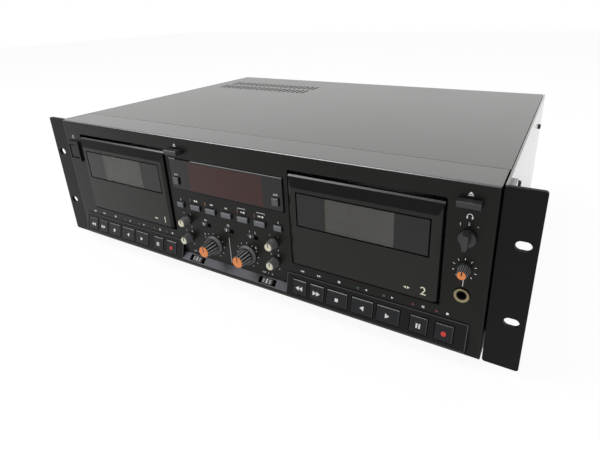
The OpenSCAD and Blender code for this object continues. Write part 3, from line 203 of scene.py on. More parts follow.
# one row per finish: two shades that drift into each other, roughness, gloss and grain
finishLooks = {
    "panelPlastic": {"dark": (0.0037, 0.0036, 0.003), "light": (0.0079, 0.0077, 0.0065),
                     "rough": 0.34, "gloss": 0.17, "grain": 3400.0, "bump": 0.14, "edge": 0.4},
    "stripPaint": {"dark": (0.045, 0.0445, 0.0425), "light": (0.061, 0.06, 0.0575),
                   "rough": 0.26, "gloss": 0.95, "cloud": 9.0, "bump": 0.05, "edge": 1.1},
    # the strip's rounded front edge, painted lighter and glossier as a painted highlight
    "stripEdgeHighlight": {"dark": 0.03, "light": 0.042, "rough": 0.18, "gloss": 1.0, "grain": 3400.0,
                  "bump": 0.05, "edge": 0.1},
    # the slope under the controls, painted paler and bluer as a painted reflection
    "slopeSheenPlastic": {"dark": (0.03, 0.031, 0.039), "light": (0.04, 0.042, 0.052),
                     "rough": 0.36, "grain": 3400.0, "edge": 0.4},
    "doorPlastic": {"dark": (0.0054, 0.0052, 0.0042), "light": (0.0096, 0.0092, 0.0075),
                    "rough": 0.26, "gloss": 0.24, "grain": 3400.0, "edge": 0.4},
    # the doors' top chamfer, painted lighter and glossier as a painted highlight
    "doorEdgeHighlight": {"dark": 0.008, "light": 0.014, "rough": 0.24, "gloss": 0.45, "grain": 3400.0,
                 "bump": 0.05, "edge": 0.1},
    # the doors' upward band, painted darker as painted shade
    "doorBandShade": {"dark": 0.003, "light": 0.006, "rough": 0.3, "gloss": 0.1, "grain": 3400.0,
                 "edge": 0.3},
    "coverPaint": {"dark": (0.038, 0.0375, 0.035), "light": (0.054, 0.053, 0.05),
                   "rough": 0.28, "gloss": 0.9, "cloud": 9.0, "grain": 2400.0, "bump": 0.025},
    "chassisPaint": {"dark": (0.053, 0.0515, 0.043), "light": (0.069, 0.067, 0.056),
                     "rough": 0.2, "gloss": 1.0, "varnish": 0.7, "cloud": 9.0,
                     "grain": 1500.0, "bump": 0.03},
    "rearPaint": {"dark": 0.018, "light": 0.028, "rough": 0.42, "grain": 1700.0, "bump": 0.08},
    "earPaint": {"dark": 0.0032, "light": 0.006, "rough": 0.44, "gloss": 0.12, "grain": 2300.0},
    "footRubber": {"dark": 0.014, "light": 0.026, "rough": 0.75, "gloss": 0.3, "grain": 1800.0,
                   "bump": 0.25},
    "screwBlack": {"dark": 0.003, "light": 0.007, "rough": 0.34, "gloss": 0.3, "grain": 2600.0},
    "boardGreen": {"dark": (0.012, 0.05, 0.02), "light": (0.02, 0.085, 0.03), "rough": 0.45,
                   "cloud": 160.0},
    "coreSteel": {"dark": 0.16, "light": 0.3, "rough": 0.45, "metal": 1.0, "cloud": 60.0},
    "mechSteel": {"dark": 0.22, "light": 0.4, "rough": 0.42, "metal": 1.0, "cloud": 60.0},
    "reelPlastic": {"dark": 0.4, "light": 0.52, "rough": 0.5},
    "socketPlastic": {"dark": 0.01, "light": 0.018, "rough": 0.45},
    "ringBrass": {"dark": (0.17, 0.14, 0.078), "light": (0.36, 0.3, 0.18), "rough": 0.2,
                  "metal": 1.0},
    "rimBrass": {"dark": (0.05, 0.042, 0.028), "light": (0.09, 0.076, 0.05), "rough": 0.36,
                 "metal": 1.0},
    "sleeveNickel": {"dark": 0.5, "light": 0.7, "rough": 0.28, "metal": 1.0},
    "sleeveWhite": {"dark": 0.55, "light": 0.7, "rough": 0.45},
    "sleeveRed": {"dark": (0.3, 0.016, 0.012), "light": (0.45, 0.03, 0.02), "rough": 0.45},
    "powerPlastic": {"dark": 0.003, "light": 0.006, "rough": 0.36, "gloss": 0.18},
    "darkPlastic": {"dark": 0.014, "light": 0.022, "rough": 0.34, "gloss": 0.42, "edge": 0.3},
    "resetPlastic": {"dark": 0.05, "light": 0.07, "rough": 0.42, "edge": 0.3},
    "modePlastic": {"dark": (0.075, 0.08, 0.088), "light": (0.1, 0.107, 0.117), "rough": 0.4,
                    "edge": 0.35},
    # sides of the small buttons, painted darker as painted shade
    "buttonSideShade": {"dark": 0.008, "light": 0.014, "rough": 0.5, "gloss": 0.15, "edge": 0.1},
    "sliderPlastic": {"dark": 0.014, "light": 0.022, "rough": 0.42, "edge": 0.3},
    "keyPlastic": {"dark": (0.004, 0.0045, 0.0055), "light": (0.007, 0.008, 0.0095),
                   "rough": 0.28, "gloss": 0.24, "grain": 2800.0, "bump": 0.08, "edge": 0.4},
    # the keys' bevels, painted lighter as a painted highlight
    "keyEdgeHighlight": {"dark": (0.012, 0.013, 0.015), "light": (0.02, 0.0215, 0.025), "rough": 0.26,
                "grain": 2800.0, "bump": 0.05, "edge": 0.1},
    # the key banks' face, painted darker than the panel as painted shade
    "bankShadePlastic": {"dark": 0.0025, "light": 0.0055, "rough": 0.3, "gloss": 0.16,
                    "grain": 3400.0, "edge": 0.8},
    # pale edge of the key banks, a painted highlight
    "bankEdgeHighlight": {"dark": 0.016, "light": 0.024, "rough": 0.26, "gloss": 0.6},
    # matt black, painted shade for the walls of gaps, holes and recesses and for dark rims
    "paintedShadeBlack": {"dark": 0.0008, "light": 0.0016, "rough": 0.8, "gloss": 0.05, "edge": 0.05},
    "selectorGrey": {"dark": 0.012, "light": 0.02, "rough": 0.36, "edge": 0.35},
    # the input knobs' skirts: the flat front face painted darker as painted shade
    "skirtFaceShade": {"dark": 0.014, "light": 0.022, "rough": 0.34, "gloss": 0.4, "bump": 0.08,
                  "edge": 0.3},
    # the skirts' cone: its own grey, made lighter as a painted highlight
    "skirtGreyLit": {"dark": 0.1, "light": 0.14, "rough": 0.34, "gloss": 0.6, "bump": 0.08,
                  "edge": 0.3},
    "capOrange": {"dark": (0.6, 0.165, 0.034), "light": (0.72, 0.23, 0.055), "rough": 0.45},
    "capCream": {"dark": (0.54, 0.52, 0.4), "light": (0.65, 0.63, 0.49), "rough": 0.45},
    "lensRed": {"dark": (0.05, 0.004, 0.004), "light": (0.09, 0.008, 0.007), "rough": 0.2},
    "lensAmber": {"dark": (0.09, 0.04, 0.006), "light": (0.15, 0.066, 0.011), "rough": 0.2},
    "lensGreen": {"dark": (0.012, 0.045, 0.018), "light": (0.02, 0.08, 0.03), "rough": 0.2},
    "inkWhite": {"dark": 0.62, "light": 0.78, "rough": 0.6, "grain": 5000.0, "edge": 0.02},
    "inkKey": {"dark": 0.52, "light": 0.66, "rough": 0.6, "edge": 0.02},
    "inkCream": {"dark": (0.6, 0.58, 0.44), "light": (0.74, 0.72, 0.56), "rough": 0.6,
                 "edge": 0.02},
    "inkRed": {"dark": (0.42, 0.018, 0.014), "light": (0.54, 0.03, 0.022), "rough": 0.55,
               "edge": 0.02},
    "inkBlack": {"dark": 0.006, "light": 0.012, "rough": 0.6, "edge": 0.02},
    # pale grey ink, a painted highlight on the sliders' ribs
    "inkGreyHighlight": {"dark": 0.2, "light": 0.28, "rough": 0.6, "edge": 0.02},
}
finishes = {name: coat(name, look) for name, look in finishLooks.items()}


def closeRim(start, skin, low, high, border, haze, rim):
    # a rim of a given width and finish along the outline in x and z
    look = finishLooks[rim]
    edge = start.node("ShaderNodeBsdfPrincipled", {
        "Base Color": tint(haze, shade(look["dark"]), shade(look["light"])),
        "Roughness": look["rough"],
        "Specular IOR Level": look["gloss"],
    })
    outside = []
    for axis in (0, 2):
        middle, half = (low[axis] + high[axis]) / 2, (high[axis] - low[axis]) / 2
        outside.append(abs(axisOf(start, axis) - middle) > half - border * mm)
    closeFinish(start, mixSkins(start, start.maths("MAXIMUM", *outside), skin, edge))


def rimmedFinish(name, plastic, low, high, look):
    finish, start = newFinish(name)
    skin, cloud = coatSkin(start, finishLooks[plastic])
    closeRim(start, skin, low, high, look["border"], cloud, look["rim"])
    return finish


# outlines on both decks: a dark rim of painted shade round the doors, and a pale edge of painted
# highlight round the banks, open below
rims = {
    "doorPlastic": {"middles": (-129.5, 124.5), "x": (-60.0, 60.0), "z": (-26.6, 49.0),
                    "border": 0.8, "rim": "paintedShadeBlack"},
    "bankShadePlastic": {"middles": (-143.5, 124.5), "x": (-65.5, 82.3), "z": (-62.0, -38.2),
                    "border": 0.6, "rim": "bankEdgeHighlight"},
}
for plastic, look in rims.items():
    for deck, middle in enumerate(look["middles"], 1):
        low, high = (spot(middle + x, 0, z) for x, z in zip(look["x"], look["z"]))
        name = plastic + str(deck)
        finishes[name] = rimmedFinish(name, plastic, low, high, look)

# smoked door windows: a clear middle between painted sides, all inside a matt black border of
# painted shade
doorGlass = {
    "clear": 54.0, "cloud": (30.0, 4.0), "rough": 0.09, "spread": 0.05, "border": 0.55,
    "painted": {"colour": (0.0032, 0.0031, 0.0027), "gloss": 0.36, "alpha": 1.0},
    "smoke": {"colour": (0.068, 0.066, 0.057), "gloss": 0.5, "alpha": 0.72},
}
glassRelief = {"bump": 0.02, "edge": 0.3}


def windowFinish(name, node):
    low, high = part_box(node)
    finish, start = newFinish(name)
    middle = abs(axisOf(start, 0) - (low.x + high.x) / 2) < doorGlass["clear"] / 2 * mm
    haze = noise(start, *doorGlass["cloud"])
    skins = []
    for look in (doorGlass["painted"], doorGlass["smoke"]):
        skins.append(start.node("ShaderNodeBsdfPrincipled", {
            "Base Color": drift(haze, look["colour"]),
            "Roughness": roughen(haze, doorGlass["rough"], doorGlass["spread"]),
            "Specular IOR Level": look["gloss"],
            "Alpha": look["alpha"],
            "Normal": relief(start, glassRelief),
        }))
    glass = mixSkins(start, middle, *skins)
    # the black border is painted shade along the window's outline
    closeRim(start, glass, low, high, doorGlass["border"], haze, "paintedShadeBlack")
    return finish


for deck in ("1", "2"):
    finishes["windowSmoke" + deck] = windowFinish("windowSmoke" + deck, "door_window_" + deck)

# the counter's window: dark red where the digits sit, black round it, and a dark rim of painted
# shade on every side but the top
displayGlass = {
    "x": (-41.0, 39.0), "z": (17.5, 44.0), "red": (0.031, 0.0052, 0.004), "black": 0.006,
    "cloud": (40.0, 4.0), "rough": 0.1, "spread": 0.06, "gloss": 0.33,
    "border": 0.6, "openTop": 4.0,
}


def displayFinish():
    finish, start = newFinish("displayRed")
    left, right = (spot(x, 0, 0).x for x in displayGlass["x"])
    foot, head = (spot(0, 0, z).z for z in displayGlass["z"])
    wide, tall = axisOf(start, 0), axisOf(start, 2)
    zone = (wide > left) * (wide < right) * (tall > foot) * (tall < head)
    haze = noise(start, *displayGlass["cloud"])
    red = drift(haze, displayGlass["red"])
    skin = start.node("ShaderNodeBsdfPrincipled", {
        "Base Color": tint(zone, shade(displayGlass["black"]), red),
        "Roughness": roughen(haze, displayGlass["rough"], displayGlass["spread"]),
        "Specular IOR Level": displayGlass["gloss"],
        "Normal": relief(start, glassRelief),
    })
    low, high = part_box("display_window")
    high.z += displayGlass["openTop"] * mm
    # a dark rim of painted shade along the outline, lifted clear of the top edge
    closeRim(start, skin, low, high, displayGlass["border"], haze, "paintedShadeBlack")
    return finish


finishes["displayRed"] = displayFinish()
print("finishes made:", len(finishes))

slotFinishes = {
    "front_panel": "panelPlastic", "top_cover": "coverPaint", "chassis": "chassisPaint",
    "rear_panel": "rearPaint", "rack_ears": "earPaint", "feet": "footRubber",
    "screws": "screwBlack", "display_window": "displayRed", "circuit_boards": "boardGreen",
    "power_transformer": "coreSteel", "jack_sockets": "socketPlastic",
    "tape_mechanisms": "mechSteel", "doors": "doorPlastic1", "door_windows": "windowSmoke1",
    "reels": "reelPlastic", "power_button": "powerPlastic", "dark_buttons": "darkPlastic",
    "mode_buttons": "modePlastic", "transport_keys": "keyPlastic", "knobs": "selectorGrey",
    "sliders": "sliderPlastic",
}
nodeFinishes = {
    "cassette_door_2": "doorPlastic2", "door_window_2": "windowSmoke2",
    "reset_button_1": "resetPlastic", "reset_button_2": "resetPlastic",
}
for part in frame["record"]["subparts"]:
    finish = nodeFinishes.get(part["node"], slotFinishes[part["material_slot"]])
    nodes[part["node"]].data.materials.clear()
    nodes[part["node"]].data.materials.append(finishes[finish])


def paintFaces(node, finish, test):
    mesh = nodes[node].data
    mesh.materials.append(finishes[finish])
    count = 0
    for face in mesh.polygons:
        if test(face.center, face.normal):
            face.material_index = len(mesh.materials) - 1
            count += 1
    if not count:
        print("nothing painted on", node, finish)


# least part of a normal along an axis for straight and tilted faces, most of it for a side face
straight, tilted, sideways = 0.9, 0.5, 0.3

# knobs: place of the axis, flutes round the grip, cap across and its colour
knobCaps = {
    "pitch_knob_1": {"x": -51.5, "z": -14.3, "flutes": 18, "cap": 6.47, "finish": "capCream"},
    "pitch_knob_2": {"x": 46.5, "z": -14.3, "flutes": 18, "cap": 6.47, "finish": "capCream"},
    "record_balance_knob_1": {"x": -51.5, "z": -32.4, "flutes": 18, "cap": 6.47,
                              "finish": "capCream"},
    "record_balance_knob_2": {"x": 46.5, "z": -32.4, "flutes": 18, "cap": 6.47,
                              "finish": "capCream"},
    "input_knob_1": {"x": -21.7, "z": -33.7, "flutes": 12, "cap": 9.83, "finish": "capOrange",
                     "skirt": (-5.7, -2.0)},
    "input_knob_2": {"x": 16.7, "z": -33.7, "flutes": 12, "cap": 9.83, "finish": "capOrange",
                     "skirt": (-5.7, -2.0)},
    "phones_level_knob": {"x": 200.0, "z": 4.7, "flutes": 16, "cap": 5.55,
                          "finish": "capOrange", "ridgeHighlight": 0.13, "share": 0.1},
}
# painted highlights on the ridges and painted shade in the valleys of the fluted grips, and how
# deep the caps reach
gripLook = {
    "ridgeHighlight": 0.26, "valleyShade": 0.002, "foot": 0.012, "start": 0.94, "share": 0.5, "front": -3.7,
    "cloud": (60.0, 3.0), "rough": 0.36, "spread": 0.1, "bump": 0.1, "edge": 0.1,
    "capDeep": 1.25, "capMargin": 0.02,
}


def gripFinish(node, knob):
    finish, start = newFinish(node + "Grip")
    middle = spot(knob["x"], 0, knob["z"])
    turn = start.maths("ARCTAN2", axisOf(start, 2) - middle.z, axisOf(start, 0) - middle.x)
    wave = start.maths("COSINE", turn * knob["flutes"] - gripLook["start"], 0.0)
    haze = noise(start, *gripLook["cloud"])
    # ridges along the flutes painted lighter as a painted highlight, valleys darker as painted
    # shade
    ridgeHighlight = drift(haze, knob.get("ridgeHighlight", gripLook["ridgeHighlight"]))
    grip = tint(wave > knob.get("share", gripLook["share"]), shade(gripLook["valleyShade"]), ridgeHighlight)
    front = axisOf(start, 1) < spot(0, gripLook["front"], 0).y
    closeFinish(start, start.node("ShaderNodeBsdfPrincipled", {
        "Base Color": tint(front, shade(gripLook["foot"]), grip),
        "Roughness": roughen(haze, gripLook["rough"], gripLook["spread"]),
        "Normal": relief(start, {"bump": gripLook["bump"], "edge": gripLook["edge"]}),
    }))
    return finish


def paintKnob(node, knob):
    middle = spot(knob["x"], 0, knob["z"])
    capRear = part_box(node)[0].y + gripLook["capDeep"] * mm
    reach = (knob["cap"] / 2 + gripLook["capMargin"]) * mm

    def onCap(at, out):
        return at.y < capRear and math.hypot(at.x - middle.x, at.z - middle.z) < reach

    def onSkirt(at, out):
        front, rear = (spot(0, y, 0).y for y in knob["skirt"])
        return front < at.y < rear

    nodes[node].data.materials[0] = gripFinish(node, knob)
    if "skirt" in knob:
        # the skirt's cone lighter as a painted highlight and its flat face darker as painted shade
        paintFaces(node, "skirtGreyLit", onSkirt)
        paintFaces(node, "skirtFaceShade", lambda at, out: onSkirt(at, out) and out.y < -straight)
    paintFaces(node, knob["finish"], onCap)


for node, knob in knobCaps.items():
    paintKnob(node, knob)

# the sides of the small buttons, painted darker as painted shade
smallButtons = ("reset_button_1", "reset_button_2", "return_to_zero_button_1",
                "return_to_zero_button_2", "dual_record_button", "sync_reverse_button",
                "cps_button", "dub_normal_button", "dub_high_speed_button")
for node in smallButtons:
    paintFaces(node, "buttonSideShade", lambda at, out: abs(out.x) > straight or out.z < -straight)

# gaps painted black as painted shade, and the banks: ranges of x from a middle, y and z, and the
# most a face looks forward
gapBoxes = {
    "window": ((-52.8, 52.8), (-4.95, -2.9), (8.2, 37.8), 1.1),
    "doorSides": ((-60.1, 60.1), (-4.0, 1.1), (-28.0, 50.3), 0.3),
    "holes": ((-212.0, 212.0), (-2.1, 1.1), (-37.5, 60.0), 0.3),
    "keyWindows": ((-68.0, 76.0), (-7.1, -0.7), (-56.2, -42.0), 0.3),
    "bank": ((-66.0, 83.0), (-7.6, -2.1), (-57.3, -38.1), 1.1),
    "bankEnds": ((-66.0, 83.0), (-7.6, -1.9), (-63.9, -38.1), 0.3),
}
keyNames = ("rewind", "fast_forward", "stop", "reverse_play", "play", "pause", "record")
# how far up the faces lean that get the doors' band of painted shade
doorBandShade = {"up": (0.2, 0.3)}
keyBevel = {"out": (-0.9, -0.4)}


def gapTest(name, middle):
    (left, right), (front, rear), (foot, head), forward = gapBoxes[name]
    low, high = spot(middle + left, front, foot), spot(middle + right, rear, head)

    def test(at, out):
        inside = all(low[axis] < at[axis] < high[axis] for axis in range(3))
        return abs(out.y) < forward and inside

    return test


def paintDoor(deck, middle):
    door = "cassette_door_" + deck
    window, sides = gapTest("window", middle), gapTest("doorSides", middle)
    least, most = doorBandShade["up"]
    # painted light on the doors: the window recess walls, the door's sides and top, its bottom
    # chamfer and the window's sides black as painted shade; the top chamfer lighter as a painted
    # highlight; the upward band darker as painted shade
    paintFaces(door, "paintedShadeBlack", lambda at, out: window(at, out) or sides(at, out))
    paintFaces(door, "paintedShadeBlack", lambda at, out: out.y < -tilted and out.z < -tilted)
    paintFaces(door, "doorEdgeHighlight", lambda at, out: out.y < -tilted and out.z > tilted)
    paintFaces(door, "doorBandShade", lambda at, out: out.y < -straight and least < out.z < most)
    paintFaces("door_window_" + deck, "paintedShadeBlack", lambda at, out: abs(out.y) < tilted)


def paintBank(deck, middle):
    bank, windows, ends = (gapTest(name, middle) for name in ("bank", "keyWindows", "bankEnds"))
    least, most = keyBevel["out"]
    # painted shade: the bank's face darker, and the key windows, the bank's ends and the keys'
    # sides black; painted highlight: the keys' bevels lighter
    paintFaces("front_panel", "bankShadePlastic" + deck,
               lambda at, out: out.y < -straight and bank(at, out))
    paintFaces("front_panel", "paintedShadeBlack", lambda at, out: windows(at, out) or ends(at, out))
    for name in keyNames:
        key = name + "_key_" + deck
        paintFaces(key, "paintedShadeBlack", lambda at, out: abs(out.y) < sideways)
        paintFaces(key, "keyEdgeHighlight", lambda at, out: least < out.y < most)


for deck in (0, 1):
    paintDoor(str(deck + 1), rims["doorPlastic"]["middles"][deck])
    paintBank(str(deck + 1), rims["bankShadePlastic"]["middles"][deck])
# walls of the panel's holes and the power button's sides, painted black as painted shade
paintFaces("front_panel", "paintedShadeBlack", gapTest("holes", 0.0))
paintFaces("power_button", "paintedShadeBlack", lambda at, out: abs(out.y) < sideways)

# the ears' side flanges have the casing's paint
earLook = {"flange": 3.3}
for node in ("left_rack_ear", "right_rack_ear"):
    paintFaces(node, "chassisPaint", lambda at, out: at.y > spot(0, earLook["flange"], 0).y)

# the panel's satin top strip, its rounded front edge painted lighter and glossier as a painted
# highlight, and the slope under the controls painted paler as a painted reflection
panelFaces = {
    "strip": {"z": 65.6, "up": 0.8},
    "edge": {"z": 64.4, "up": 0.6, "out": -0.3},
    "slope": {"z": (-57.0, -50.0), "half": 62.0, "up": 0.4, "out": -0.4},
}


def onStrip(at, out):
    look = panelFaces["strip"]
    return out.z > look["up"] and at.z > spot(0, 0, look["z"]).z


def onStripEdge(at, out):
    look = panelFaces["edge"]
    return out.y < look["out"] and out.z > look["up"] and at.z > spot(0, 0, look["z"]).z


def onSlope(at, out):
    look = panelFaces["slope"]
    foot, head = (spot(0, 0, z).z for z in look["z"])
    leaning = out.y < look["out"] and out.z > look["up"]
    return leaning and foot < at.z < head and abs(at.x) < look["half"] * mm


paintFaces("front_panel", "stripPaint", onStrip)
paintFaces("front_panel", "stripEdgeHighlight", onStripEdge)
paintFaces("front_panel", "slopeSheenPlastic", onSlope)

# small lamps in the panel, by their finish, and the most their faces lie from these places
lensPlaces = {
    "lensRed": [(-44.7, 7.0), (10.0, 7.0), (28.3, 7.0), (167.1, -34.4), (184.4, -34.4),
                (-100.9, -34.4), (-83.6, -34.4)],
    "lensAmber": [(-26.7, 7.0)],
    "lensGreen": [(123.4, -34.4), (144.7, -34.4), (-144.6, -34.4), (-123.3, -34.4)],
}
lensReach = {"x": 1.4, "y": 3.0, "z": 1.8}


def lensTest(places):
    middles = [spot(x, lensReach["y"], z) for x, z in places]

    def test(at, out):
        return any(at.y < middle.y and abs(at.x - middle.x) < lensReach["x"] * mm
                   and abs(at.z - middle.z) < lensReach["z"] * mm for middle in middles)

    return test


for finish, places in lensPlaces.items():
    paintFaces("circuit_boards", finish, lensTest(places))

# black switch bodies behind the slope's slots
switchBodies = {"half": 62.0, "y": 12.0, "z": -44.0}


def onSwitchBody(at, out):
    rear = spot(0, switchBodies["y"], switchBodies["z"])
    return abs(at.x) < switchBodies["half"] * mm and at.y < rear.y and at.z < rear.z


paintFaces("circuit_boards", "socketPlastic", onSwitchBody)

# sockets: brass ring at the front, nickel and coloured sleeves at the rear
socketLook = {
    "phones": {"x": 200.0, "y": 0.5, "z": -15.8, "reach": 6.0},
    "lines": {"x": (40.0, 56.0, 90.0, 106.0), "y": 312.0, "shell": 7.0, "core": 3.3},
    "redRow": -14.0, "whiteRow": 4.0,
}


def onPhonesRing(at, out):
    look = socketLook["phones"]
    middle = spot(look["x"], look["y"], look["z"])
    return (at.y < middle.y
            and math.hypot(at.x - middle.x, at.z - middle.z) < look["reach"] * mm)


def onLine(at, row, ring):
    look = socketLook["lines"]
    level = spot(0, look["y"], socketLook[row])
    gap = min(math.hypot(at.x - x * mm, at.z - level.z) for x in look["x"])
    return at.y > level.y and gap < look[ring] * mm


def onShell(at, out):
    return onLine(at, "redRow", "shell") or onLine(at, "whiteRow", "shell")


paintFaces("jack_sockets", "rimBrass", onPhonesRing)
paintFaces("jack_sockets", "sleeveNickel", onShell)
paintFaces("jack_sockets", "sleeveRed", lambda at, out: onLine(at, "redRow", "core"))
paintFaces("jack_sockets", "sleeveWhite", lambda at, out: onLine(at, "whiteRow", "core"))
print("CAD nodes painted")

# flat print: every sign is modelled once at one millimetre and copied to its places
printLook = {"sunk": 0.03, "raised": 0.05, "round": 28, "curve": 3}


def startBit(vertices, radius):
    bpy.ops.object.select_all(action="DESELECT")
    bpy.ops.mesh.primitive_circle_add(vertices=vertices, radius=radius, fill_type="NGON",
                                      location=(0, 0, 0))
    bpy.ops.object.mode_set(mode="EDIT")
    bpy.ops.mesh.select_mode(type="FACE")
    bpy.ops.mesh.select_all(action="SELECT")


def endBit(name):
    bpy.ops.mesh.select_all(action="SELECT")
    bpy.ops.transform.translate(value=(0, 0, -printLook["sunk"]))
    lift = printLook["sunk"] + printLook["raised"]
    bpy.ops.mesh.extrude_region_move(TRANSFORM_OT_translate={"value": (0, 0, lift)})
    bpy.ops.mesh.select_all(action="SELECT")
    bpy.ops.mesh.normals_make_consistent(inside=False)
    bpy.ops.object.mode_set(mode="OBJECT")
    bit = bpy.context.object
    bit.data.transform(bit.matrix_basis)
    bit.matrix_basis = Matrix.Identity(4)
    bit.name = name
    return bit


def pickFaces(test):
    bpy.ops.object.mode_set(mode="OBJECT")
    mesh = bpy.context.object.data
    for part in (*mesh.vertices, *mesh.edges):
        part.select = False
    for face in mesh.polygons:
        face.select = test(face.center)
    bpy.ops.object.mode_set(mode="EDIT")


def makeBar():
    startBit(4, math.sqrt(0.5))
    bpy.ops.transform.rotate(value=math.pi / 4, orient_axis="Z", center_override=(0, 0, 0))
    return endBit("barBit")


def makeDisc():
    startBit(printLook["round"], 0.5)
    return endBit("discBit")


def makeWedge():
    startBit(3, 2 / 3)
    bpy.ops.transform.translate(value=(0, -1 / 6, 0))
    bpy.ops.transform.resize(value=(math.sqrt(3) / 2, 1, 1), center_override=(0, 0, 0))
    return endBit("wedgeBit")


def makeRing(name, thick, test):
    startBit(printLook["round"], 0.5)
    bpy.ops.mesh.inset(thickness=thick, depth=0)
    bpy.ops.mesh.delete(type="FACE")
    pickFaces(test)
    bpy.ops.mesh.delete(type="FACE")
    return endBit(name)


def makeText(body):
    bpy.ops.object.select_all(action="DESELECT")
    bpy.ops.object.text_add(location=(0, 0, 0))
    bpy.context.object.data.body = body
    bpy.context.object.data.extrude = (printLook["sunk"] + printLook["raised"]) / 2
    bpy.context.object.data.resolution_u = printLook["curve"]
    bpy.ops.object.convert(target="MESH")
    bit = bpy.context.object
    bit.name = "textBit" + body
    points = [v.co for v in bit.data.vertices]
    low = Vector([min(p[i] for p in points) for i in range(3)])
    high = Vector([max(p[i] for p in points) for i in range(3)])
    tall = 1.0 if body == "+" else high.y - low.y
    grow = Matrix.Diagonal((1 / tall, 1 / tall, 1, 1))
    lift = (printLook["raised"] - printLook["sunk"]) / 2
    bit.data.transform(Matrix.Translation((0, 0, lift)) @ grow
                       @ Matrix.Translation((-(low.x + high.x) / 2, -(low.y + high.y) / 2, 0)))
    return bit


# rings one unit across: thickness, and which faces are cut out of them
ringBits = {
    "ring": (0.1, lambda at: False),
    "arch": (0.12, lambda at: at.y < -0.02),
    "openRing": (0.11, lambda at: at.y > 0.3 and abs(at.x) < 0.2),
}
bits = {"bar": makeBar(), "disc": makeDisc(), "wedge": makeWedge()}
for name, (thick, cut) in ringBits.items():
    bits[name] = makeRing(name + "Bit", thick, cut)
for body in ("0", "1", "2", "OFF", "+", "L", "R"):
    bits[body] = makeText(body)
print("signs modelled:", len(bits))


def stamp(kind, at, wide, tall, lean=0.0, turn=0.0, back=False):
    copy = bits[kind].copy()
    copy.data = bits[kind].data.copy()
    bpy.context.collection.objects.link(copy)
    facing = Matrix.Rotation(math.pi / 2 - math.radians(lean), 4, "X")
    if back:
        facing = Matrix.Rotation(math.pi, 4, "Z") @ facing
    spin = Matrix.Rotation(math.radians(turn), 4, "Z")
    size = Matrix.Diagonal((wide * mm, tall * mm, mm, 1))
    copy.data.transform(Matrix.Translation(at) @ facing @ spin @ size)
    return copy


def joinPrint(name, copies, finish, body):
    bpy.ops.object.select_all(action="DESELECT")
    for copy in copies:
        copy.select_set(True)
    bpy.context.view_layer.objects.active = copies[0]
    if len(copies) > 1:
        bpy.ops.object.join()
    piece = bpy.context.view_layer.objects.active
    piece.name = name
    piece.data.name = name
    piece.data.materials.clear()
    piece.data.materials.append(finishes[finish])
    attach(piece, body)


# signs by name: bit, across, up, wide, tall and turn, for a sign one unit tall
signShapes = {
    "rewind": [("wedge", -0.42, 0, 1, 0.84, 90), ("wedge", 0.42, 0, 1, 0.84, 90)],
    "fast_forward": [("wedge", -0.42, 0, 1, 0.84, -90), ("wedge", 0.42, 0, 1, 0.84, -90)],
    "stop": [("bar", 0, 0, 1, 1, 0)],
    "reverse_play": [("wedge", 0, 0, 1, 0.9, 90)],
    "play": [("wedge", 0, 0, 1, 0.9, -90)],
    "pause": [("bar", -0.28, 0, 0.34, 1, 0), ("bar", 0.28, 0, 0.34, 1, 0)],
    "record": [("disc", 0, 0, 1, 1, 0)],
    "both": [("wedge", -0.62, 0, 1, 0.9, 90), ("wedge", 0.62, 0, 1, 0.9, -90)],
    "twin": [("disc", -0.62, 0, 1, 1, 0), ("disc", 0.62, 0, 1, 1, 0)],
    "search": [("wedge", -0.2, 0, 1, 0.9, -90), ("bar", 0.42, 0, 0.2, 1, 0)],
    "dub": [("wedge", -0.62, 0, 1, 0.9, -90), ("disc", 0.62, 0, 1, 1, 0)],
    "fastDub": [("wedge", -1.05, 0, 1, 0.84, -90), ("wedge", -0.2, 0, 1, 0.84, -90),
                ("disc", 0.95, 0, 1, 1, 0)],
    "eject": [("wedge", 0, 0.18, 1.2, 0.62, 0), ("bar", 0, -0.4, 1.2, 0.2, 0)],
    "standby": [("openRing", 0, -0.05, 1, 1, 0), ("bar", 0, 0.3, 0.12, 0.5, 0)],
    "headphone": [("arch", 0, 0, 1.1, 1.1, 0), ("bar", -0.45, -0.2, 0.24, 0.44, 0),
                  ("bar", 0.45, -0.2, 0.24, 0.44, 0)],
    "timer": [("ring", 0, 0, 1, 1, 0), ("bar", 0, 0.14, 0.09, 0.36, 0),
              ("bar", 0.12, 0, 0.3, 0.09, 0)],
    "minus": [("bar", 0, 0, 0.8, 0.16, 0)],
}


def sign(name, x, y, z, tall, lean=0.0):
    # a sign of several bits round one place on a face that leans back
    tip = math.radians(lean)
    copies = []
    for kind, across, up, wide, high, turn in signShapes[name]:
        rise = up * tall
        at = spot(x + across * tall, y + rise * math.sin(tip), z + rise * math.cos(tip))
        copies.append(stamp(kind, at, wide * tall, high * tall, lean, turn))
    return copies


# marks on the keys, which go down with them; the places are the second deck's
deckShifts = {"1": -268.0, "2": 0.0}
keyMarks = {
    "face": (-6.229, -49.049), "lean": 14.0,
    "tall": {"rewind": 3.9, "fast_forward": 3.9, "stop": 2.8, "reverse_play": 3.9, "play": 3.9,
             "pause": 3.7, "record": 3.7},
    "places": {"rewind": 71.5, "fast_forward": 88.0, "stop": 106.4, "reverse_play": 128.15,
               "play": 149.2, "pause": 172.8, "record": 191.2},
}
for deck, shift in deckShifts.items():
    for name, x in keyMarks["places"].items():
        key = name + "_key_" + deck
        ink = "inkRed" if name == "record" else "inkKey"
        made = sign(name, x + shift, *keyMarks["face"], keyMarks["tall"][name], keyMarks["lean"])
        joinPrint(key + "_mark", made, ink, key)
print("key marks done")

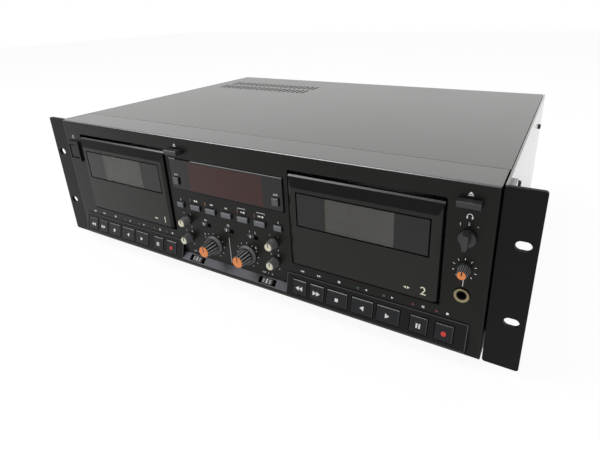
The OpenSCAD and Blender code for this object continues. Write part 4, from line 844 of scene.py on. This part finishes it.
# print on the panel: signs, numerals, ticks, dots and lines, in millimetres on its face
panelPrint = {
    "face": -2.0,
    "keyRow": {"z": -34.4, "tall": 2.0,
               "x": {"rewind": 73.0, "fast_forward": 88.8, "stop": 107.0, "reverse_play": 130.0,
                     "play": 151.3, "pause": 174.5, "record": 191.9}},
    "modeRow": {"z": 7.2, "tall": 1.9,
                "x": {"twin": -38.2, "both": -19.4, "search": -2.5, "dub": 15.6,
                      "fastDub": 34.6}},
    "single": [("eject", -54.7, 58.4, 2.8), ("eject", 199.3, 58.4, 2.8),
               ("standby", -203.0, 49.2, 3.4), ("headphone", 200.0, 43.0, 3.6),
               ("both", -29.1, -9.8, 1.7), ("timer", -2.5, -9.4, 2.6),
               ("minus", -55.6, -7.8, 1.8), ("minus", 42.4, -7.8, 1.8)],
    "numerals": [("0", -56.9, 5.6, 1.9), ("0", 51.9, 5.6, 1.9), ("1", 194.6, 36.7, 2.0),
                 ("2", 200.0, 37.8, 2.0), ("+", 205.6, 36.7, 2.0), ("+", -47.4, -7.8, 1.8),
                 ("+", 50.6, -7.8, 1.8), ("L", -55.2, -25.6, 1.9), ("R", -47.8, -25.6, 1.9),
                 ("L", 42.8, -25.6, 1.9), ("R", 50.2, -25.6, 1.9), ("1", 21.2, -9.6, 1.9),
                 ("2", 27.0, -9.6, 1.9), ("L", -31.6, -24.4, 2.0), ("R", 26.6, -24.4, 2.0),
                 ("OFF", -47.6, -46.6, 1.5), ("1", -43.3, -46.6, 1.6), ("2", -39.2, -46.6, 1.6),
                 ("OFF", 33.7, -46.6, 1.5), ("1", 38.0, -46.6, 1.6), ("2", 42.1, -46.6, 1.6)],
    "lines": [(-3.0, -34.7, 0.35, 26.0), (200.0, -6.2, 0.4, 5.6), (14.6, 10.6, 8.4, 0.35),
              (34.6, 10.6, 8.4, 0.35), (10.5, 10.1, 0.35, 1.3), (38.7, 10.1, 0.35, 1.3)],
    "dots": {"knobs": [(-51.5, -14.3), (46.5, -14.3), (-51.5, -32.4), (46.5, -32.4)],
             "sides": (-3.75, 3.75), "below": 6.5, "wide": 0.9},
    "scales": [(-21.7, -33.7, 11.6, 1.3, 0.4, 11, 300.0),
               (16.7, -33.7, 11.6, 1.3, 0.4, 11, 300.0),
               (200.0, 4.7, 7.4, 1.4, 0.42, 9, 280.0)],
}
inkBits = []
face, row = panelPrint["face"], panelPrint["keyRow"]
for shift in deckShifts.values():
    for name, x in row["x"].items():
        inkBits += sign(name, x + shift, face, row["z"], row["tall"])
row = panelPrint["modeRow"]
for name, x in row["x"].items():
    inkBits += sign(name, x, face, row["z"], row["tall"])
for name, x, z, tall in panelPrint["single"]:
    inkBits += sign(name, x, face, z, tall)
for name, x, z, tall in panelPrint["numerals"]:
    inkBits.append(stamp(name, spot(x, face, z), tall, tall))
for x, z, wide, tall in panelPrint["lines"]:
    inkBits.append(stamp("bar", spot(x, face, z), wide, tall))
dots = panelPrint["dots"]
for x, z in dots["knobs"]:
    for side in dots["sides"]:
        at = spot(x + side, face, z - dots["below"])
        inkBits.append(stamp("disc", at, dots["wide"], dots["wide"]))
for x, z, reach, long, wide, count, sweep in panelPrint["scales"]:
    for step in range(count):
        turn = math.radians(sweep / 2 - sweep * step / (count - 1))
        at = spot(x - math.sin(turn) * reach, face, z + math.cos(turn) * reach)
        inkBits.append(stamp("bar", at, wide, long, 0.0, math.degrees(turn)))
joinPrint("panel_print", inkBits, "inkWhite", "deck")

# counter signs on the display window
resetPrint = {"face": -2.9, "x": (-56.9, 51.9), "steps": (-1.5, 0.0, 1.5), "z": 30.6, "tall": 1.7}
inkBits = []
for x in resetPrint["x"]:
    for step in resetPrint["steps"]:
        at = spot(x + step, resetPrint["face"], resetPrint["z"])
        inkBits.append(stamp("0", at, resetPrint["tall"], resetPrint["tall"]))
joinPrint("display_print", inkBits, "inkWhite", "deck")

# deck numbers and direction signs on the doors
doorPrint = {"face": -5.0, "number": (50.0, -19.0, 6.5), "signs": (38.0, -19.6, 2.2)}
for deck, middle in enumerate(rims["doorPlastic"]["middles"], 1):
    across, up, tall = doorPrint["number"]
    number = stamp(str(deck), spot(middle + across, doorPrint["face"], up), tall, tall)
    across, up, tall = doorPrint["signs"]
    made = [number] + sign("both", middle + across, doorPrint["face"], up, tall)
    joinPrint("door_print_" + str(deck), made, "inkCream", "cassette_door_" + str(deck))

# pointers let into the grooves of the knob caps, and the line on the selector
pointerLook = {"wide": 0.92, "below": 0.06, "short": 0.15}
selectorLine = {"below": 0.08, "up": 2.6, "size": (0.9, 4.6)}
for node, knob in knobCaps.items():
    tip = (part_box(node)[0].y - earLow.y) / mm + pointerLook["below"] + printLook["raised"]
    reach = knob["cap"] / 2 - pointerLook["short"]
    at = spot(knob["x"], tip, knob["z"] + reach / 2)
    pointer = stamp("bar", at, pointerLook["wide"], reach)
    joinPrint(node + "_pointer", [pointer], "inkBlack", node)
low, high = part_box("phones_selector_knob")
at = Vector(((low.x + high.x) / 2, low.y + selectorLine["below"] * mm,
             (low.z + high.z) / 2 + selectorLine["up"] * mm))
pointer = stamp("bar", at, *selectorLine["size"])
joinPrint("phones_selector_pointer", [pointer], "inkWhite", "phones_selector_knob")

# index lines on the slide switches, and ribs on the two that stand in the slope, inked pale grey
# as painted highlights
sliderPrint = {
    "index": (0.8, 2.6), "lean": 45.0, "face": (-5.426, -52.51), "line": (0.9, 4.0),
    "rib": (1.5, 3.6), "ribs": (-3.4, 3.4),
}
for node in ("reverse_mode_slider", "timer_slider", "input_output_slider"):
    low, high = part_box(node)
    at = Vector(((low.x + high.x) / 2, low.y, (low.z + high.z) / 2))
    line = stamp("bar", at, *sliderPrint["index"])
    joinPrint(node + "_index", [line], "inkWhite", node)
for node in ("noise_reduction_slider_1", "noise_reduction_slider_2"):
    low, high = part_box(node)
    middle, lean = (low.x + high.x) / 2 / mm, sliderPrint["lean"]
    line = stamp("bar", spot(middle, *sliderPrint["face"]), *sliderPrint["line"], lean)
    joinPrint(node + "_index", [line], "inkWhite", node)
    # the ribs' pale grey is a painted highlight on their ridges
    ribs = [stamp("bar", spot(middle + step, *sliderPrint["face"]), *sliderPrint["rib"], lean)
            for step in sliderPrint["ribs"]]
    joinPrint(node + "_rib_highlights", ribs, "inkGreyHighlight", node)
print("front print done")

# rear print: channel letters beside the sockets and deck numbers over them
rearPrint = {
    "marks": [("L", 29.5, 4.0), ("R", 29.5, -14.0), ("L", 79.5, 4.0), ("R", 79.5, -14.0),
              ("1", 48.0, 15.5), ("2", 98.0, 15.5)],
    "tall": 3.2,
}
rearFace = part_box("rear_panel")[1].y
inkBits = []
for mark, x, z in rearPrint["marks"]:
    at = spot(x, 0, z)
    at.y = rearFace
    inkBits.append(stamp(mark, at, rearPrint["tall"], rearPrint["tall"], back=True))
joinPrint("rear_print", inkBits, "inkWhite", "deck")

for bit in bits.values():
    bpy.data.objects.remove(bit)

# nut of the headphone socket with a cone into the bore: radius and height of each loop
phonesNut = {
    "at": (200.0, -3.0, -15.8), "sides": 48, "smooth": 35,
    "loops": [(5.2, 0.0), (5.2, 0.35), (4.9, 0.6), (4.5, 0.6), (4.2, 0.45), (3.35, -0.1)],
}


def makeNut():
    bpy.ops.object.select_all(action="DESELECT")
    radius, level = phonesNut["loops"][0]
    bpy.ops.mesh.primitive_circle_add(vertices=phonesNut["sides"], radius=radius * mm,
                                      location=(0, 0, 0))
    bpy.ops.object.mode_set(mode="EDIT")
    bpy.ops.mesh.select_mode(type="EDGE")
    bpy.ops.mesh.select_all(action="SELECT")
    for wide, high in phonesNut["loops"][1:]:
        rise = (0, 0, (high - level) * mm)
        bpy.ops.mesh.extrude_region_move(TRANSFORM_OT_translate={"value": rise})
        share = wide / radius
        bpy.ops.transform.resize(value=(share, share, 1), center_override=(0, 0, high * mm))
        radius, level = wide, high
    bpy.ops.mesh.select_all(action="DESELECT")
    bpy.ops.mesh.select_non_manifold()
    bpy.ops.mesh.bridge_edge_loops()
    bpy.ops.mesh.select_all(action="SELECT")
    bpy.ops.mesh.normals_make_consistent(inside=False)
    bpy.ops.object.mode_set(mode="OBJECT")
    nut = bpy.context.object
    facing = Matrix.Rotation(math.pi / 2, 4, "X")
    nut.data.transform(Matrix.Translation(spot(*phonesNut["at"])) @ facing)
    joinPrint("phones_nut", [nut], "ringBrass", "deck")
    bpy.ops.object.shade_smooth_by_angle(angle=math.radians(phonesNut["smooth"]))


makeNut()


def seenRays(start):
    return [start.node("ShaderNodeLightPath", out=name)
            for name in ("Is Camera Ray", "Is Glossy Ray", "Is Transmission Ray")]


# plain pale floor
floorLook = {
    "size": 8.0, "cuts": 3, "white": 0.82, "drift": 0.02, "cloud": (6.0, 3.0), "rough": 0.85,
    "spread": 0.1, "gloss": 0.1, "glow": 0.93, "mirrored": 0.5,
}


def makeFloor():
    bpy.ops.object.select_all(action="DESELECT")
    bpy.ops.mesh.primitive_plane_add(size=floorLook["size"], location=(0, 0, 0))
    bpy.ops.object.mode_set(mode="EDIT")
    bpy.ops.mesh.subdivide(number_cuts=floorLook["cuts"])
    bpy.ops.object.mode_set(mode="OBJECT")
    floor = bpy.context.object
    floor.name = "studioFloor"
    finish, start = newFinish("floorPaper")
    paper = noise(start, *floorLook["cloud"])
    dark, light = (shade(floorLook["white"] + step * floorLook["drift"]) for step in (-1, 1))
    skin = start.node("ShaderNodeBsdfPrincipled", {
        "Base Color": tint(paper, dark, light),
        "Roughness": roughen(paper, floorLook["rough"], floorLook["spread"]),
        "Specular IOR Level": floorLook["gloss"],
    })
    white = start.node("ShaderNodeEmission", {"Strength": 1.0})
    camera, glossy, through = seenRays(start)
    share = camera * floorLook["glow"] + (glossy + through) * floorLook["mirrored"]
    closeFinish(start, mixSkins(start, share, skin, white))
    floor.data.materials.append(finish)
    floor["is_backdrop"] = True


makeFloor()

# soft studio light: a pale room and three broad lamps
studio = {
    "room": 0.55, "aim": (0, 0, 0.07),
    "lamps": {
        "keyLamp": {"at": (-1.0, -0.5, 1.85), "size": (1.0, 1.7), "watts": 36.0, "shine": True},
        "topLamp": {"at": (0.2, 0.3, 1.9), "size": (1.8, 1.8), "watts": 8.0, "shine": False},
        "sideLamp": {"at": (1.7, -0.4, 0.9), "size": (1.2, 1.2), "watts": 9.0, "shine": False},
    },
}


def makeStudio():
    world = bpy.data.worlds.new("paleRoom")
    world.use_nodes = True
    world.node_tree.nodes.clear()
    bpy.context.scene.world = world
    start = Wire(world.node_tree)
    camera, glossy, through = seenRays(start)
    room, white = (start.node("ShaderNodeBackground", {"Color": (1, 1, 1, 1), "Strength": level})
                   for level in (studio["room"], 1.0))
    mixed = mixSkins(start, camera + glossy + through, room, white)
    start.node("ShaderNodeOutputWorld", {"Surface": mixed})
    for name, look in studio["lamps"].items():
        light = bpy.data.lights.new(name, "AREA")
        light.shape = "RECTANGLE"
        light.size, light.size_y = look["size"]
        light.energy = look["watts"]
        lamp = bpy.data.objects.new(name, light)
        bpy.context.collection.objects.link(lamp)
        lamp.location = look["at"]
        aim = Vector(studio["aim"]) - Vector(look["at"])
        lamp.rotation_euler = aim.to_track_quat("-Z", "Y").to_euler()
        lamp.visible_glossy = look["shine"]
        lamp.visible_camera = False


makeStudio()

# the photograph's camera, for a picture of 600 by 450
cameraLook = {
    "at": (241.161, -260.627, 166.903), "right": (0.874494, 0.484260, -0.027426),
    "down": (0.155447, -0.333377, -0.929890), "forward": (-0.459452, 0.808920, -0.366813),
    "focal": 437.055, "middle": (322.04, 180.53), "picture": (600, 450),
    "sensor": 36.0, "near": 0.01,
}


def makeCamera():
    wide, tall = cameraLook["picture"]
    lens = bpy.data.cameras.new("photoCamera")
    lens.sensor_width = cameraLook["sensor"]
    lens.sensor_fit = "HORIZONTAL"
    lens.lens = cameraLook["focal"] / wide * lens.sensor_width
    lens.shift_x = (wide / 2 - cameraLook["middle"][0]) / wide
    lens.shift_y = (cameraLook["middle"][1] - tall / 2) / wide
    lens.clip_start = cameraLook["near"]
    camera = bpy.data.objects.new("photoCamera", lens)
    bpy.context.collection.objects.link(camera)
    up, back = ([-v for v in cameraLook[name]] for name in ("down", "forward"))
    turn = Matrix([cameraLook["right"], up, back]).transposed().to_4x4()
    camera.matrix_world = Matrix.Translation(spot(*cameraLook["at"])) @ turn
    bpy.context.scene.camera = camera


makeCamera()
bpy.context.scene.view_settings.view_transform = "Standard"

low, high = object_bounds()
print("scene ready")
